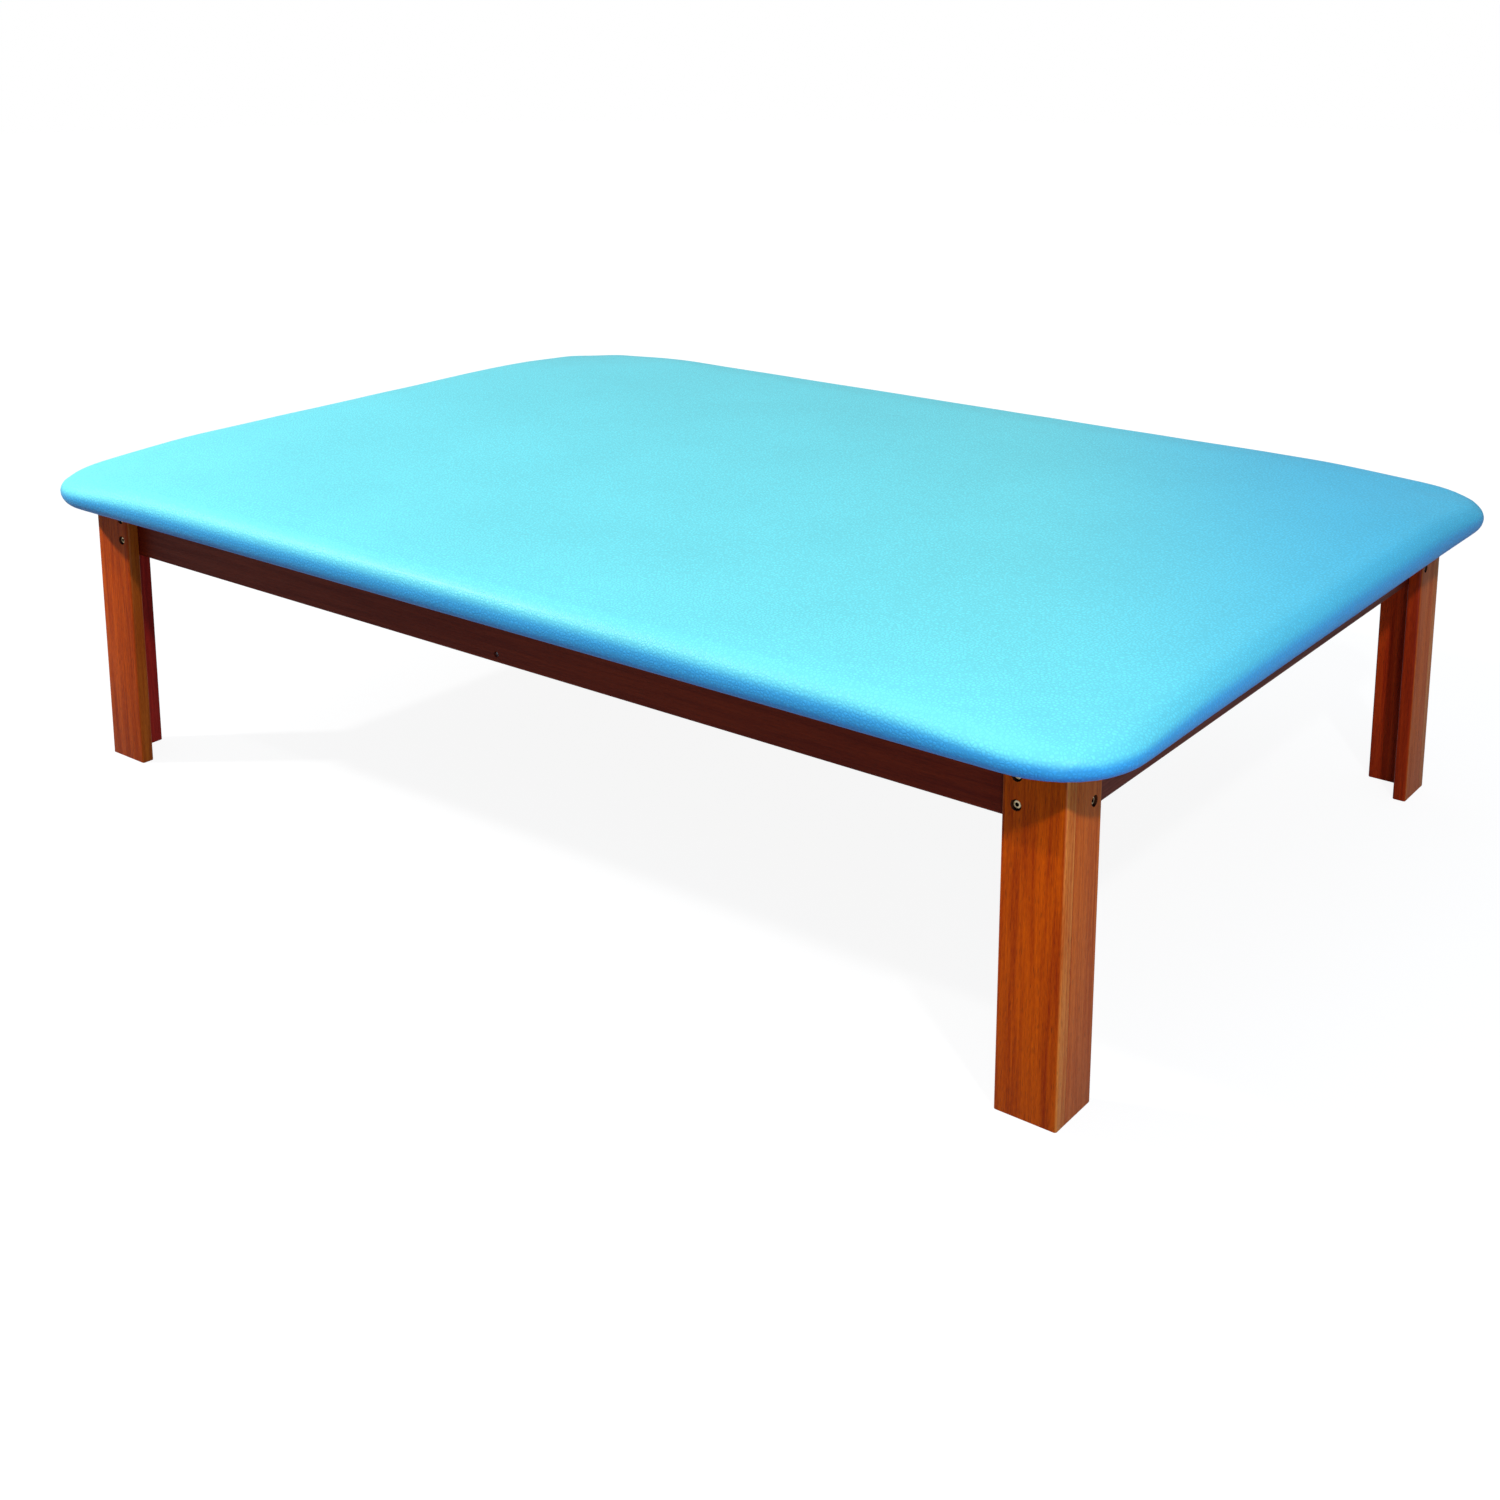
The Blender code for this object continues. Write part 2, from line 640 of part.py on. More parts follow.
def main():
    """Build the table, from the frame up to the cover."""
    clear_scene()
    bolt_frames = [frame for corner in CORNERS for frame in corner.bolt_frames().values()]
    bolt_holes = cutter("leg_bolt_holes", bolt_hole_profile(), ROUND_SIDES, bolt_frames)
    hex_sockets = cutter("hex_sockets", hex_socket_profile(), HEX_SIDES, bolt_frames)
    rail_screws = rail_screw_frames()
    rail_holes = cutter("rail_screw_holes", rail_screw_hole_profile(), ROUND_SIDES, rail_screws.values())
    hole_frames = [frame for bracket in brackets() for frame in bracket.hole_frames()]
    bracket_holes = cutter("bracket_holes", bracket_hole_profile(), SMALL_ROUND_SIDES, hole_frames)

    for corner in CORNERS:
        for leg_board in build_leg_boards(corner):
            cut(leg_board, bolt_holes)
        build_bolts(corner, hex_sockets)
    long_aprons, short_aprons = build_aprons()
    for apron in long_aprons:
        cut(apron, bolt_holes, rail_holes, bracket_holes)
    for apron in short_aprons:
        cut(apron, bolt_holes, bracket_holes)
    cut(build_rail(), rail_holes)
    for name, frame in rail_screws.items():
        screw = bmesh.new()
        turned(screw, rail_screw_profile(), ROUND_SIDES, frame)
        add_object(name, screw, ZINC_STEEL)
    for bracket in brackets():
        build_bracket(bracket, bracket_holes)

    cut(build_panel(), bracket_holes)
    build_foam()
    build_cover()


main()
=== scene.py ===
"""Looks of a padded therapy table: a vinyl-covered foam pad on a fixed frame of stained timber.

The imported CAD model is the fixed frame. The pad, the legs and the fasteners are made anew in finer
detail over its nodes, and the plain timber keeps its nodes and gets a finish. Units are metres, +X
runs along the table, +Y across it and +Z up, with the origin on the floor under the pad's middle.
"""

import logging
import math
import random
from collections.abc import Iterable
from dataclasses import dataclass, field
from enum import Enum
from typing import ClassVar

import bmesh
import bpy
import numpy as np
from mathutils import Matrix, Vector, noise


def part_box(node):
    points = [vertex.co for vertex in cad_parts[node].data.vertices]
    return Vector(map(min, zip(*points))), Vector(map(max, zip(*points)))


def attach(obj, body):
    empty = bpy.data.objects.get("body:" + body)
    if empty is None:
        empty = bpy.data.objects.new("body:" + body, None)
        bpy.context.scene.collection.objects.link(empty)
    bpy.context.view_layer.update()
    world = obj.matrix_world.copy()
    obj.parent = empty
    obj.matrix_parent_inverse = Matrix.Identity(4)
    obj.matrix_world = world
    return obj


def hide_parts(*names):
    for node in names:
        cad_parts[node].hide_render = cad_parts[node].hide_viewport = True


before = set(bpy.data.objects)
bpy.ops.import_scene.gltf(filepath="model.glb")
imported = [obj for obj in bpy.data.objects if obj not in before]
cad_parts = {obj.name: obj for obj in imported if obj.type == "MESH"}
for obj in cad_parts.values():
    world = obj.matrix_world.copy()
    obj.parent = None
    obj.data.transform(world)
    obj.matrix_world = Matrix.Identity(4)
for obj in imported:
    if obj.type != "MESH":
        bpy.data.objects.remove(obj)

log = logging.getLogger("therapy_table")

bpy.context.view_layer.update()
BODY = "root"
MM = 0.001
FULL_TURN = 2 * math.pi
WHITE = "#FFFFFF"
ROUND_PROFILE = 0.5
# A direction lies mostly along an axis when its part along it is more than this
MOSTLY = 0.5
MERGE_DISTANCE = 0.01 * MM
SMOOTH_ANGLE = math.radians(32)
# Out of the table, in a fastener's own frame
OUT = Vector((0, 0, 1))
# A thread's depth, and where its three points lie from one ridge to the next, as shares of its pitch
THREAD_DEPTH = 0.55
THREAD_POINTS = (0.1, 0.45, 0.6)
# The length and thickness of a cross recess's blade at its foot and its top, as shares of the head's radius
BLADE_FOOT = (0.45, 0.16)
BLADE_TOP = (1.05, 0.24)

Point = tuple[float, float, float]
NodeValue = float | tuple | bpy.types.NodeSocket


# Finishes


def linear(hex_code: str) -> tuple[float, float, float, float]:
    """Turn an sRGB colour into the linear one that a shader reads.

    Args:
        hex_code: The colour as "#RRGGBB".

    Returns:
        Red, green, blue and a full alpha.
    """
    parts = [int(hex_code[start : start + 2], 16) / 255 for start in (1, 3, 5)]
    curved = [part / 12.92 if part <= 0.04045 else ((part + 0.055) / 1.055) ** 2.4 for part in parts]
    return (*curved, 1.0)


def add_node(
    tree: bpy.types.NodeTree,
    kind: str,
    inputs: dict[str | int, NodeValue] | None = None,
    **settings: object,
) -> bpy.types.Node:
    """Add one node, with its settings, input values and links.

    Args:
        tree: The node tree that gets it.
        kind: Blender's name for the kind of node.
        inputs: For an input's name or number, its value or the output that feeds it.
        **settings: The node's own properties.

    Returns:
        The new node.
    """
    node = tree.nodes.new(kind)
    for name, value in settings.items():
        setattr(node, name, value)
    for name, value in (inputs or {}).items():
        if isinstance(value, bpy.types.NodeSocket):
            tree.links.new(value, node.inputs[name])
        else:
            node.inputs[name].default_value = value
    return node


# The numbers of a colour Mix node's sockets, whose names are shared by all its data types
MIX_SHARE, MIX_A, MIX_B, MIX_RESULT = 0, 6, 7, 2


def blended(
    tree: bpy.types.NodeTree, share: NodeValue, low: NodeValue, high: NodeValue, how: str = "MIX"
) -> bpy.types.NodeSocket:
    """Blend two colours.

    Args:
        tree: The node tree.
        share: How much of the second colour, from 0 to 1.
        low: The first colour.
        high: The second colour.
        how: Blender's name for the kind of blend.

    Returns:
        The blend's output.
    """
    node = add_node(
        tree, "ShaderNodeMix", {MIX_SHARE: share, MIX_A: low, MIX_B: high}, data_type="RGBA", blend_type=how
    )
    return node.outputs[MIX_RESULT]


def spread(
    tree: bpy.types.NodeTree,
    value: NodeValue,
    low: float,
    high: float,
    to_low: float = 0.0,
    to_high: float = 1.0,
) -> bpy.types.NodeSocket:
    """Stretch a value's range to another, with smooth ends.

    Args:
        tree: The node tree.
        value: What is stretched.
        low: Where the range starts.
        high: Where the range ends.
        to_low: What the start becomes.
        to_high: What the end becomes.

    Returns:
        The stretched value's output.
    """
    sockets = {"Value": value, "From Min": low, "From Max": high, "To Min": to_low, "To Max": to_high}
    return add_node(tree, "ShaderNodeMapRange", sockets, interpolation_type="SMOOTHSTEP").outputs["Result"]


def worked_out(tree: bpy.types.NodeTree, how: str, *values: NodeValue) -> bpy.types.NodeSocket:
    """Work out a value from others.

    Args:
        tree: The node tree.
        how: Blender's name for the way it is worked out.
        *values: The numbers or outputs that go into it.

    Returns:
        The result's output.
    """
    return add_node(tree, "ShaderNodeMath", dict(enumerate(values)), operation=how).outputs["Value"]


def patches(
    tree: bpy.types.NodeTree,
    place: bpy.types.NodeSocket,
    size: float,
    detail: float,
    distortion: float = 0.0,
) -> bpy.types.NodeSocket:
    """Soft uneven patches.

    Args:
        tree: The node tree.
        place: The coordinates.
        size: A patch's size, in the coordinates' own unit.
        detail: How much finer detail they have.
        distortion: How much they wander.

    Returns:
        The patches' output, around 0.5.
    """
    sockets = {"Vector": place, "Scale": 1 / size, "Detail": detail, "Distortion": distortion}
    return add_node(tree, "ShaderNodeTexNoise", sockets).outputs["Fac"]


def scales(*sizes: float) -> Point:
    """The scale along each axis at which a mark of that size, in metres, is one unit."""
    return tuple(1 / size for size in sizes)


@dataclass(frozen=True)
class Finish:
    """What all finishes share: a name, the record's slot, and the shader's plain values."""

    name: str
    slot: str
    roughness: float
    metallic: float = 0.0

    def make(self) -> bpy.types.Material:
        """Make the finish's material on its first use, and find it again later.

        Returns:
            The material.
        """
        found = bpy.data.materials.get(self.name)
        if found:
            return found
        material = bpy.data.materials.new(self.name)
        material.use_nodes = True
        tree = material.node_tree
        shader = tree.nodes["Principled BSDF"]
        shader.inputs["Roughness"].default_value = self.roughness
        shader.inputs["Metallic"].default_value = self.metallic
        self.paint(tree, shader)
        return material

    def paint(self, tree: bpy.types.NodeTree, shader: bpy.types.Node) -> None:
        """Add the finish's own nodes.

        Args:
            tree: The material's node tree.
            shader: Its Principled shader.
        """
        raise NotImplementedError

    def bump(
        self, tree: bpy.types.NodeTree, shader: bpy.types.Node, height: bpy.types.NodeSocket, depth: float
    ) -> None:
        """Lead a height to the shader's normal.

        Args:
            tree: The material's node tree.
            shader: Its Principled shader.
            height: The height, from 0 to 1.
            depth: How deep a height of 1 is, in metres.
        """
        node = add_node(tree, "ShaderNodeBump", {"Height": height, "Distance": depth, "Strength": 1.0})
        tree.links.new(node.outputs["Normal"], shader.inputs["Normal"])


@dataclass(frozen=True)
class EmbossedVinyl(Finish):
    """PVC-coated upholstery cloth, calendered with a fine leather grain.

    The coating is soft and satin, so it shows one broad pale highlight along a roll, and the grain
    breaks that up into fine speckle, with painted shade in its hollows and painted highlight on its
    pebbles. The top is painted darker and bluer towards the rear right, as painted shade, and the
    rolls are painted a deeper blue the further they turn under, as painted shade.
    """

    top_colour: str = "#7BF3FC"
    # Painted shade: the colour that the top is painted towards the rear right
    rear_right_painted_shade: str = "#59D6FB"
    # Painted shade: the deeper blues that the rolls are painted as they turn sideways and then under
    roll_side_painted_shade: str = "#48BEFF"
    roll_under_painted_shade: str = "#38A4FF"
    scuff_colour: str = "#9CC9CF"
    # The real grain's cells are about 1.2 mm. They are drawn coarser, so that they show.
    grain: float = 5.0 * MM
    grain_depth: float = 0.25 * MM
    # The sizes of the clouds in the dye, of the rubbed places and of the skin's fine unevenness
    cloud: float = 238.1 * MM
    rub: Point = (128.2 * MM, 42.74 * MM, 64.1 * MM)
    skin: float = 3.125 * MM
    # Which way the top is painted darker and bluer, as painted shade, and from where to where along it, in
    # metres
    shaded_way: Point = (1.0, 0.55, 0.0)
    shaded_from: float = 0.45
    shaded_to: float = 1.15
    gloss: float = 0.27
    coat: float = 0.02
    coat_roughness: float = 0.22

    def paint(self, tree: bpy.types.NodeTree, shader: bpy.types.Node) -> None:
        """Add the painted shade on the top and the rolls, the scuffs, and the grain with its painted light
        and shade.

        Args:
            tree: The material's node tree.
            shader: Its Principled shader.
        """
        place = add_node(tree, "ShaderNodeTexCoord").outputs["Object"]
        facing = add_node(tree, "ShaderNodeNewGeometry").outputs["Normal"]
        upward = add_node(tree, "ShaderNodeSeparateXYZ", {"Vector": facing}).outputs["Z"]
        # Painted shade: the top goes darker and bluer towards the rear right
        shaded_end = add_node(
            tree, "ShaderNodeVectorMath", {0: place, 1: self.shaded_way}, operation="DOT_PRODUCT"
        ).outputs["Value"]
        shaded = spread(tree, shaded_end, self.shaded_from, self.shaded_to)
        top_with_painted_shade = blended(tree, shaded, linear(self.top_colour), linear(self.rear_right_painted_shade))
        # Painted shade: the rolls go from the top's colour to deeper blues as they face sideways and under
        over = blended(tree, spread(tree, upward, -0.10, 0.66), linear(self.roll_side_painted_shade), top_with_painted_shade)
        turned = blended(tree, spread(tree, upward, -0.90, -0.10), linear(self.roll_under_painted_shade), over)

        tint = spread(tree, patches(tree, place, self.cloud, 3.0), 0.3, 0.7, 0.975, 1.015)
        clouded = blended(tree, 1.0, turned, self.grey(tree, tint), "MULTIPLY")

        rub = {"Vector": place, "Scale": scales(*self.rub), "Rotation": (0, 0, 0.5)}
        rubbed = add_node(tree, "ShaderNodeMapping", rub).outputs["Vector"]
        scuffed = spread(tree, patches(tree, rubbed, 1.0, 7.0), 0.66, 0.80, 0.0, 0.14)
        coloured = blended(tree, scuffed, clouded, linear(self.scuff_colour))

        cells = add_node(
            tree,
            "ShaderNodeTexVoronoi",
            {"Vector": place, "Scale": 1 / self.grain, "Randomness": 0.9},
            feature="DISTANCE_TO_EDGE",
        ).outputs["Distance"]
        pebbles = spread(tree, cells, 0.0, 0.35)
        # Painted shade in the grain's hollows and painted highlight on its pebbles
        grain_painted_light_and_shade = spread(tree, cells, 0.0, 0.35, 0.88, 1.06)
        speckled = blended(tree, 1.0, coloured, self.grey(tree, grain_painted_light_and_shade), "MULTIPLY")
        tree.links.new(speckled, shader.inputs["Base Color"])
        height = worked_out(tree, "ADD", pebbles, patches(tree, place, self.skin, 2.0))
        self.bump(tree, shader, height, self.grain_depth)
        rough = spread(tree, scuffed, 0.0, 0.14, self.roughness, self.roughness + 0.12)
        tree.links.new(rough, shader.inputs["Roughness"])
        shader.inputs["Specular IOR Level"].default_value = self.gloss
        shader.inputs["Coat Weight"].default_value = self.coat
        shader.inputs["Coat Roughness"].default_value = self.coat_roughness

    def grey(self, tree: bpy.types.NodeTree, level: bpy.types.NodeSocket) -> bpy.types.NodeSocket:
        """A grey of the given level, to multiply a colour by.

        Args:
            tree: The material's node tree.
            level: Its red, green and blue.

        Returns:
            The grey's output.
        """
        return add_node(tree, "ShaderNodeCombineXYZ", {"X": level, "Y": level, "Z": level}).outputs["Vector"]


@dataclass(frozen=True)
class OpenCellFoam(Finish):
    """Cut polyurethane foam: matt, pale straw, and pitted with the open halves of its bubbles."""

    colour: str = "#E4D9A6"
    # The pits are painted darker, as painted shade in the bubbles' hollows
    pit_painted_shade: str = "#A8975A"
    # Real bubbles are about 0.8 mm. They are drawn coarser, so that they show.
    bubble: float = 2.0 * MM
    pit_depth: float = 0.4 * MM

    def paint(self, tree: bpy.types.NodeTree, shader: bpy.types.Node) -> None:
        """Add the bubbles, with painted shade in their pits.

        Args:
            tree: The material's node tree.
            shader: Its Principled shader.
        """
        place = add_node(tree, "ShaderNodeTexCoord").outputs["Object"]
        bubbles = add_node(tree, "ShaderNodeTexVoronoi", {"Vector": place, "Scale": 1 / self.bubble})
        wall = spread(tree, bubbles.outputs["Distance"], 0.1, 0.7)
        coloured = blended(tree, wall, linear(self.pit_painted_shade), linear(self.colour))
        tree.links.new(coloured, shader.inputs["Base Color"])
        self.bump(tree, shader, wall, self.pit_depth)


class Grain(Enum):
    """Which way a board's grain runs."""

    ALONG_X = 0
    ALONG_Y = 1
    ALONG_Z = 2


@dataclass(frozen=True)
class Side:
    """The faces of a board that are painted light and shade of their own, told by which way they look."""

    facing: Point
    dark: str
    light: str
    # Whether it takes in the faces that look the opposite way
    both_ways: bool = False


@dataclass(frozen=True)
class StainedHardwood(Finish):
    """Solid meranti, planed, stained mahogany red and varnished satin.

    The stain sinks into the soft bands of the growth rings and leaves the hard ones orange, so each
    board is streaked along its length, with short dark pores. Sawn ends soak up more and go dark. Faces
    that look certain ways are painted light and shade of their own.
    """

    grain: Grain = Grain.ALONG_Z
    shift: Point = (0.0, 0.0, 0.0)
    dark: str = "#7A2606"
    light: str = "#C4561A"
    sides: tuple[Side, ...] = ()
    end: str = "#4A1A08"
    pore: str = "#4E1A08"
    # Growth bands and streaks are as wide as on the real legs. Pores are 0.2 mm, drawn coarser.
    band: float = 13 * MM
    streak: float = 2.8 * MM
    fleck: float = 1.3 * MM
    fleck_run: float = 10 * MM
    pore_width: float = 0.9 * MM
    pore_run: float = 14 * MM
    pore_depth: float = 0.05 * MM
    run: float = 300 * MM
    gloss: float = 0.13

    def marks(
        self,
        tree: bpy.types.NodeTree,
        place: bpy.types.NodeSocket,
        width: float,
        length: float,
        detail: float,
        distortion: float = 0.0,
    ) -> bpy.types.NodeSocket:
        """Marks of one kind that run with the grain.

        Args:
            tree: The material's node tree.
            place: The coordinates.
            width: A mark's width across the grain, in metres.
            length: Its length along the grain, in metres.
            detail: How much finer detail it has.
            distortion: How much it wanders.

        Returns:
            The marks' output, around 0.5.
        """
        sizes = [width] * 3
        sizes[self.grain.value] = length
        sockets = {"Vector": place, "Scale": scales(*sizes), "Location": self.shift}
        stretched = add_node(tree, "ShaderNodeMapping", sockets).outputs["Vector"]
        return patches(tree, stretched, 1.0, detail, distortion)

    def paint(self, tree: bpy.types.NodeTree, shader: bpy.types.Node) -> None:
        """Add the growth bands, streaks, pores, the painted light and shade of some faces, and sawn ends.

        Args:
            tree: The material's node tree.
            shader: Its Principled shader.
        """
        place = add_node(tree, "ShaderNodeTexCoord").outputs["Object"]
        bands = self.marks(tree, place, self.band, self.run, 4.0, 0.6)
        streaks = self.marks(tree, place, self.streak, self.run / 3, 4.0)
        flecks = self.marks(tree, place, self.fleck, self.fleck_run, 2.0)
        pores = self.marks(tree, place, self.pore_width, self.pore_run, 1.0)
        banded = spread(tree, bands, 0.32, 0.68)
        streaked = spread(tree, streaks, 0.30, 0.70)
        flecked = spread(tree, flecks, 0.30, 0.70, 0.0, 0.24)
        tone = flecked
        for mark, weight in ((banded, 0.42), (streaked, 0.34)):
            tone = worked_out(tree, "MULTIPLY_ADD", mark, weight, tone)
        face = blended(tree, tone, linear(self.dark), linear(self.light))

        facing = add_node(tree, "ShaderNodeNewGeometry").outputs["Normal"]
        parts = add_node(tree, "ShaderNodeSeparateXYZ", {"Vector": facing}).outputs
        # Painted light and shade: faces that look certain ways get colours of their own
        for side in self.sides:
            sockets = {0: facing, 1: side.facing}
            share = add_node(tree, "ShaderNodeVectorMath", sockets, operation="DOT_PRODUCT").outputs["Value"]
            if side.both_ways:
                share = worked_out(tree, "ABSOLUTE", share)
            other = blended(tree, tone, linear(side.dark), linear(side.light))
            face = blended(tree, spread(tree, share, 0.15, 0.9), face, other)
        along = worked_out(tree, "ABSOLUTE", parts["XYZ"[self.grain.value]])
        sawn = blended(tree, streaked, linear(self.end), linear(self.dark))
        boarded = blended(tree, spread(tree, along, 0.6, 0.95), face, sawn)

        pored = spread(tree, pores, 0.60, 0.72, 0.0, 0.45)
        coloured = blended(tree, pored, boarded, linear(self.pore))
        tree.links.new(coloured, shader.inputs["Base Color"])
        rough = spread(tree, tone, 0.0, 1.0, self.roughness + 0.06, self.roughness - 0.04)
        tree.links.new(rough, shader.inputs["Roughness"])
        shader.inputs["Specular IOR Level"].default_value = self.gloss
        self.bump(tree, shader, worked_out(tree, "SUBTRACT", streaked, pored), self.pore_depth)


@dataclass(frozen=True)
class BirchPlywood(Finish):
    """Birch plywood, sanded and unpainted: a pale rotary-cut face, and plies that show at its edge."""

    pale: str = "#D9B98A"
    flame: str = "#C29A66"
    ply_line: str = "#8A6238"
    ply: float = 1.4 * MM
    flame_size: Point = (454.5 * MM, 55.56 * MM, 55.56 * MM)
    fibre_size: Point = (83.33 * MM, 2 * MM, 2 * MM)
    fibre_depth: float = 0.04 * MM

    def paint(self, tree: bpy.types.NodeTree, shader: bpy.types.Node) -> None:
        """Add the face's flame figure and the edge's plies.

        Args:
            tree: The material's node tree.
            shader: Its Principled shader.
        """
        place = add_node(tree, "ShaderNodeTexCoord").outputs["Object"]
        figure, fibres = (
            add_node(tree, "ShaderNodeMapping", {"Vector": place, "Scale": scales(*size)}).outputs["Vector"]
            for size in (self.flame_size, self.fibre_size)
        )
        flames = patches(tree, figure, 1.0, 4.0, 1.2)
        fine = patches(tree, fibres, 1.0, 2.0)
        drawn = worked_out(tree, "MULTIPLY_ADD", fine, 0.4, spread(tree, flames, 0.35, 0.65))
        face = blended(tree, drawn, linear(self.pale), linear(self.flame))

        height = add_node(tree, "ShaderNodeSeparateXYZ", {"Vector": place}).outputs["Z"]
        wave = worked_out(tree, "SINE", worked_out(tree, "MULTIPLY", height, math.pi / self.ply))
        plies = blended(tree, spread(tree, wave, -0.2, 0.2), linear(self.ply_line), linear(self.pale))
        facing = add_node(tree, "ShaderNodeNewGeometry").outputs["Normal"]
        upward = add_node(tree, "ShaderNodeSeparateXYZ", {"Vector": facing}).outputs["Z"]
        flat = spread(tree, worked_out(tree, "ABSOLUTE", upward), 0.4, 0.7)
        coloured = blended(tree, flat, plies, face)
        tree.links.new(coloured, shader.inputs["Base Color"])
        self.bump(tree, shader, fine, self.fibre_depth)


@dataclass(frozen=True)
class PlatedSteel(Finish):
    """Steel with a thin bright plating: even in colour, with faint cloudiness and handling marks."""

    colour: str = "#C9CACC"
    tarnish: str = "#8F8C86"
    cloud: float = 3.846 * MM
    pit: float = 0.4545 * MM
    pit_depth: float = 0.01 * MM

    def paint(self, tree: bpy.types.NodeTree, shader: bpy.types.Node) -> None:
        """Add the tarnish and the fine unevenness of the plating.

        Args:
            tree: The material's node tree.
            shader: Its Principled shader.
        """
        place = add_node(tree, "ShaderNodeTexCoord").outputs["Object"]
        cloud = patches(tree, place, self.cloud, 3.0)
        dull = spread(tree, cloud, 0.45, 0.75)
        coloured = blended(tree, dull, linear(self.colour), linear(self.tarnish))
        tree.links.new(coloured, shader.inputs["Base Color"])
        rough = spread(tree, cloud, 0.3, 0.7, self.roughness - 0.06, self.roughness + 0.10)
        tree.links.new(rough, shader.inputs["Roughness"])
        self.bump(tree, shader, patches(tree, place, self.pit, 1.0), self.pit_depth)


VINYL = EmbossedVinyl("embossed_pvc_vinyl", "vinyl", 0.46)
FOAM = OpenCellFoam("open_cell_polyurethane_foam", "foam", 0.95)
PLYWOOD = BirchPlywood("sanded_birch_plywood", "plywood", 0.62)
# The counterbores' walls are painted dark, as painted shade in the recess
COUNTERBORE_PAINTED_SHADE = StainedHardwood(
    "bored_meranti_painted_shade", "hardwood", 0.7, dark="#2A1008", light="#6A3212", end="#241008"
)
BOLT_STEEL = PlatedSteel("nickel_plated_steel", "bolt_steel", 0.42, 1.0, "#F2DDB4", "#B59C6E")
# The socket's inside is painted near black, as painted shade in the recess
SOCKET_PAINTED_SHADE = PlatedSteel("socket_painted_shade", "bolt_steel", 0.60, 1.0, "#16130F", "#0A0806")
ZINC_STEEL = PlatedSteel("zinc_plated_steel", "zinc_steel", 0.38, 1.0, "#C4C9CE", "#85898D")


# Mesh helpers


def as_piece(
    name: str, shape: bmesh.types.BMesh, finish: Finish, *nodes: str, inside: Finish | None = None
) -> bpy.types.Object:
    """Turn a bmesh into a finished piece that rides on the table.

    Args:
        name: The piece's name.
        shape: Its mesh, in place. It is freed.
        finish: Its finish.
        *nodes: The CAD nodes that it stands for.
        inside: The finish of the faces whose material number is 1, if it has any.

    Returns:
        The piece.
    """
    bmesh.ops.recalc_face_normals(shape, faces=shape.faces)
    mesh = bpy.data.meshes.new(name)
    shape.to_mesh(mesh)
    shape.free()
    mesh.shade_smooth()
    mesh.set_sharp_from_angle(angle=SMOOTH_ANGLE)
    mesh.materials.append(finish.make())
    if inside:
        mesh.materials.append(inside.make())
    piece = bpy.data.objects.new(name, mesh)
    bpy.context.scene.collection.objects.link(piece)
    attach(piece, BODY)
    if nodes:
        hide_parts(*nodes)
    log.info("%s: %d faces, stands for %s", name, len(mesh.polygons), ", ".join(nodes) or "no node")
    return piece


def dress_node(name: str, finish: Finish) -> None:
    """Give a CAD node, whose shape stays, its finish.

    Args:
        name: The node's name.
        finish: Its finish.
    """
    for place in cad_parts[name].material_slots:
        place.material = finish.make()
    log.info("%s: CAD node, dressed in %s", name, finish.name)


def spun(
    shape: bmesh.types.BMesh, profile: Iterable[tuple[float, float]], sides: int
) -> list[bmesh.types.BMVert]:
    """Turn a profile round +Z into a closed body.

    Args:
        shape: The mesh that gets it.
        profile: Points of (radius, height) from pole to pole.
        sides: How many sides the body has.

    Returns:
        The body's vertices.
    """
    known = set(shape.verts)
    chain = [shape.verts.new((radius, 0, height)) for radius, height in profile]
    edges = [shape.edges.new(pair) for pair in zip(chain[:-1], chain[1:])]
    bmesh.ops.spin(
        shape,
        geom=chain + edges,
        cent=(0, 0, 0),
        axis=(0, 0, 1),
        angle=FULL_TURN,
        steps=sides,
        use_merge=True,
    )
    fresh = [vert for vert in shape.verts if vert not in known]
    bmesh.ops.remove_doubles(shape, verts=fresh, dist=MERGE_DISTANCE)
    return [vert for vert in shape.verts if vert not in known]


def eased(shape: bmesh.types.BMesh, edges: list[bmesh.types.BMEdge], reach: float, segments: int) -> None:
    """Round some edges of a shape.

    Args:
        shape: The shape.
        edges: Its edges that are rounded.
        reach: How far the round goes to each side of an edge.
        segments: How many faces go round it.
    """
    bmesh.ops.bevel(
        shape,
        geom=edges,
        offset=reach,
        offset_type="OFFSET",
        segments=segments,
        profile=ROUND_PROFILE,
        affect="EDGES",
        material=-1,
    )


def combine(
    piece: bpy.types.Object,
    cutter: bmesh.types.BMesh,
    what: str = "DIFFERENCE",
    inside: Finish | None = None,
) -> None:
    """Cut a piece with another shape for good, or join or intersect the two.

    Args:
        piece: The piece.
        cutter: The other shape. It is freed.
        what: DIFFERENCE to take it away, UNION to join it, or INTERSECT to keep what they share.
        inside: The finish of the faces that the cut opens, if they differ.
    """
    bmesh.ops.recalc_face_normals(cutter, faces=cutter.faces)
    mesh = bpy.data.meshes.new("cutter")
    cutter.to_mesh(mesh)
    cutter.free()
    if inside:
        mesh.materials.append(inside.make())
    tool = bpy.data.objects.new("cutter", mesh)
    bpy.context.scene.collection.objects.link(tool)
    step = piece.modifiers.new("cut", "BOOLEAN")
    step.material_mode = "TRANSFER" if inside else "INDEX"
    step.operation = what
    step.solver = "EXACT"
    step.object = tool
    keep_modified(piece)
    bpy.data.objects.remove(tool)
    bpy.data.meshes.remove(mesh)
    piece.data.shade_smooth()
    piece.data.set_sharp_from_angle(angle=SMOOTH_ANGLE)


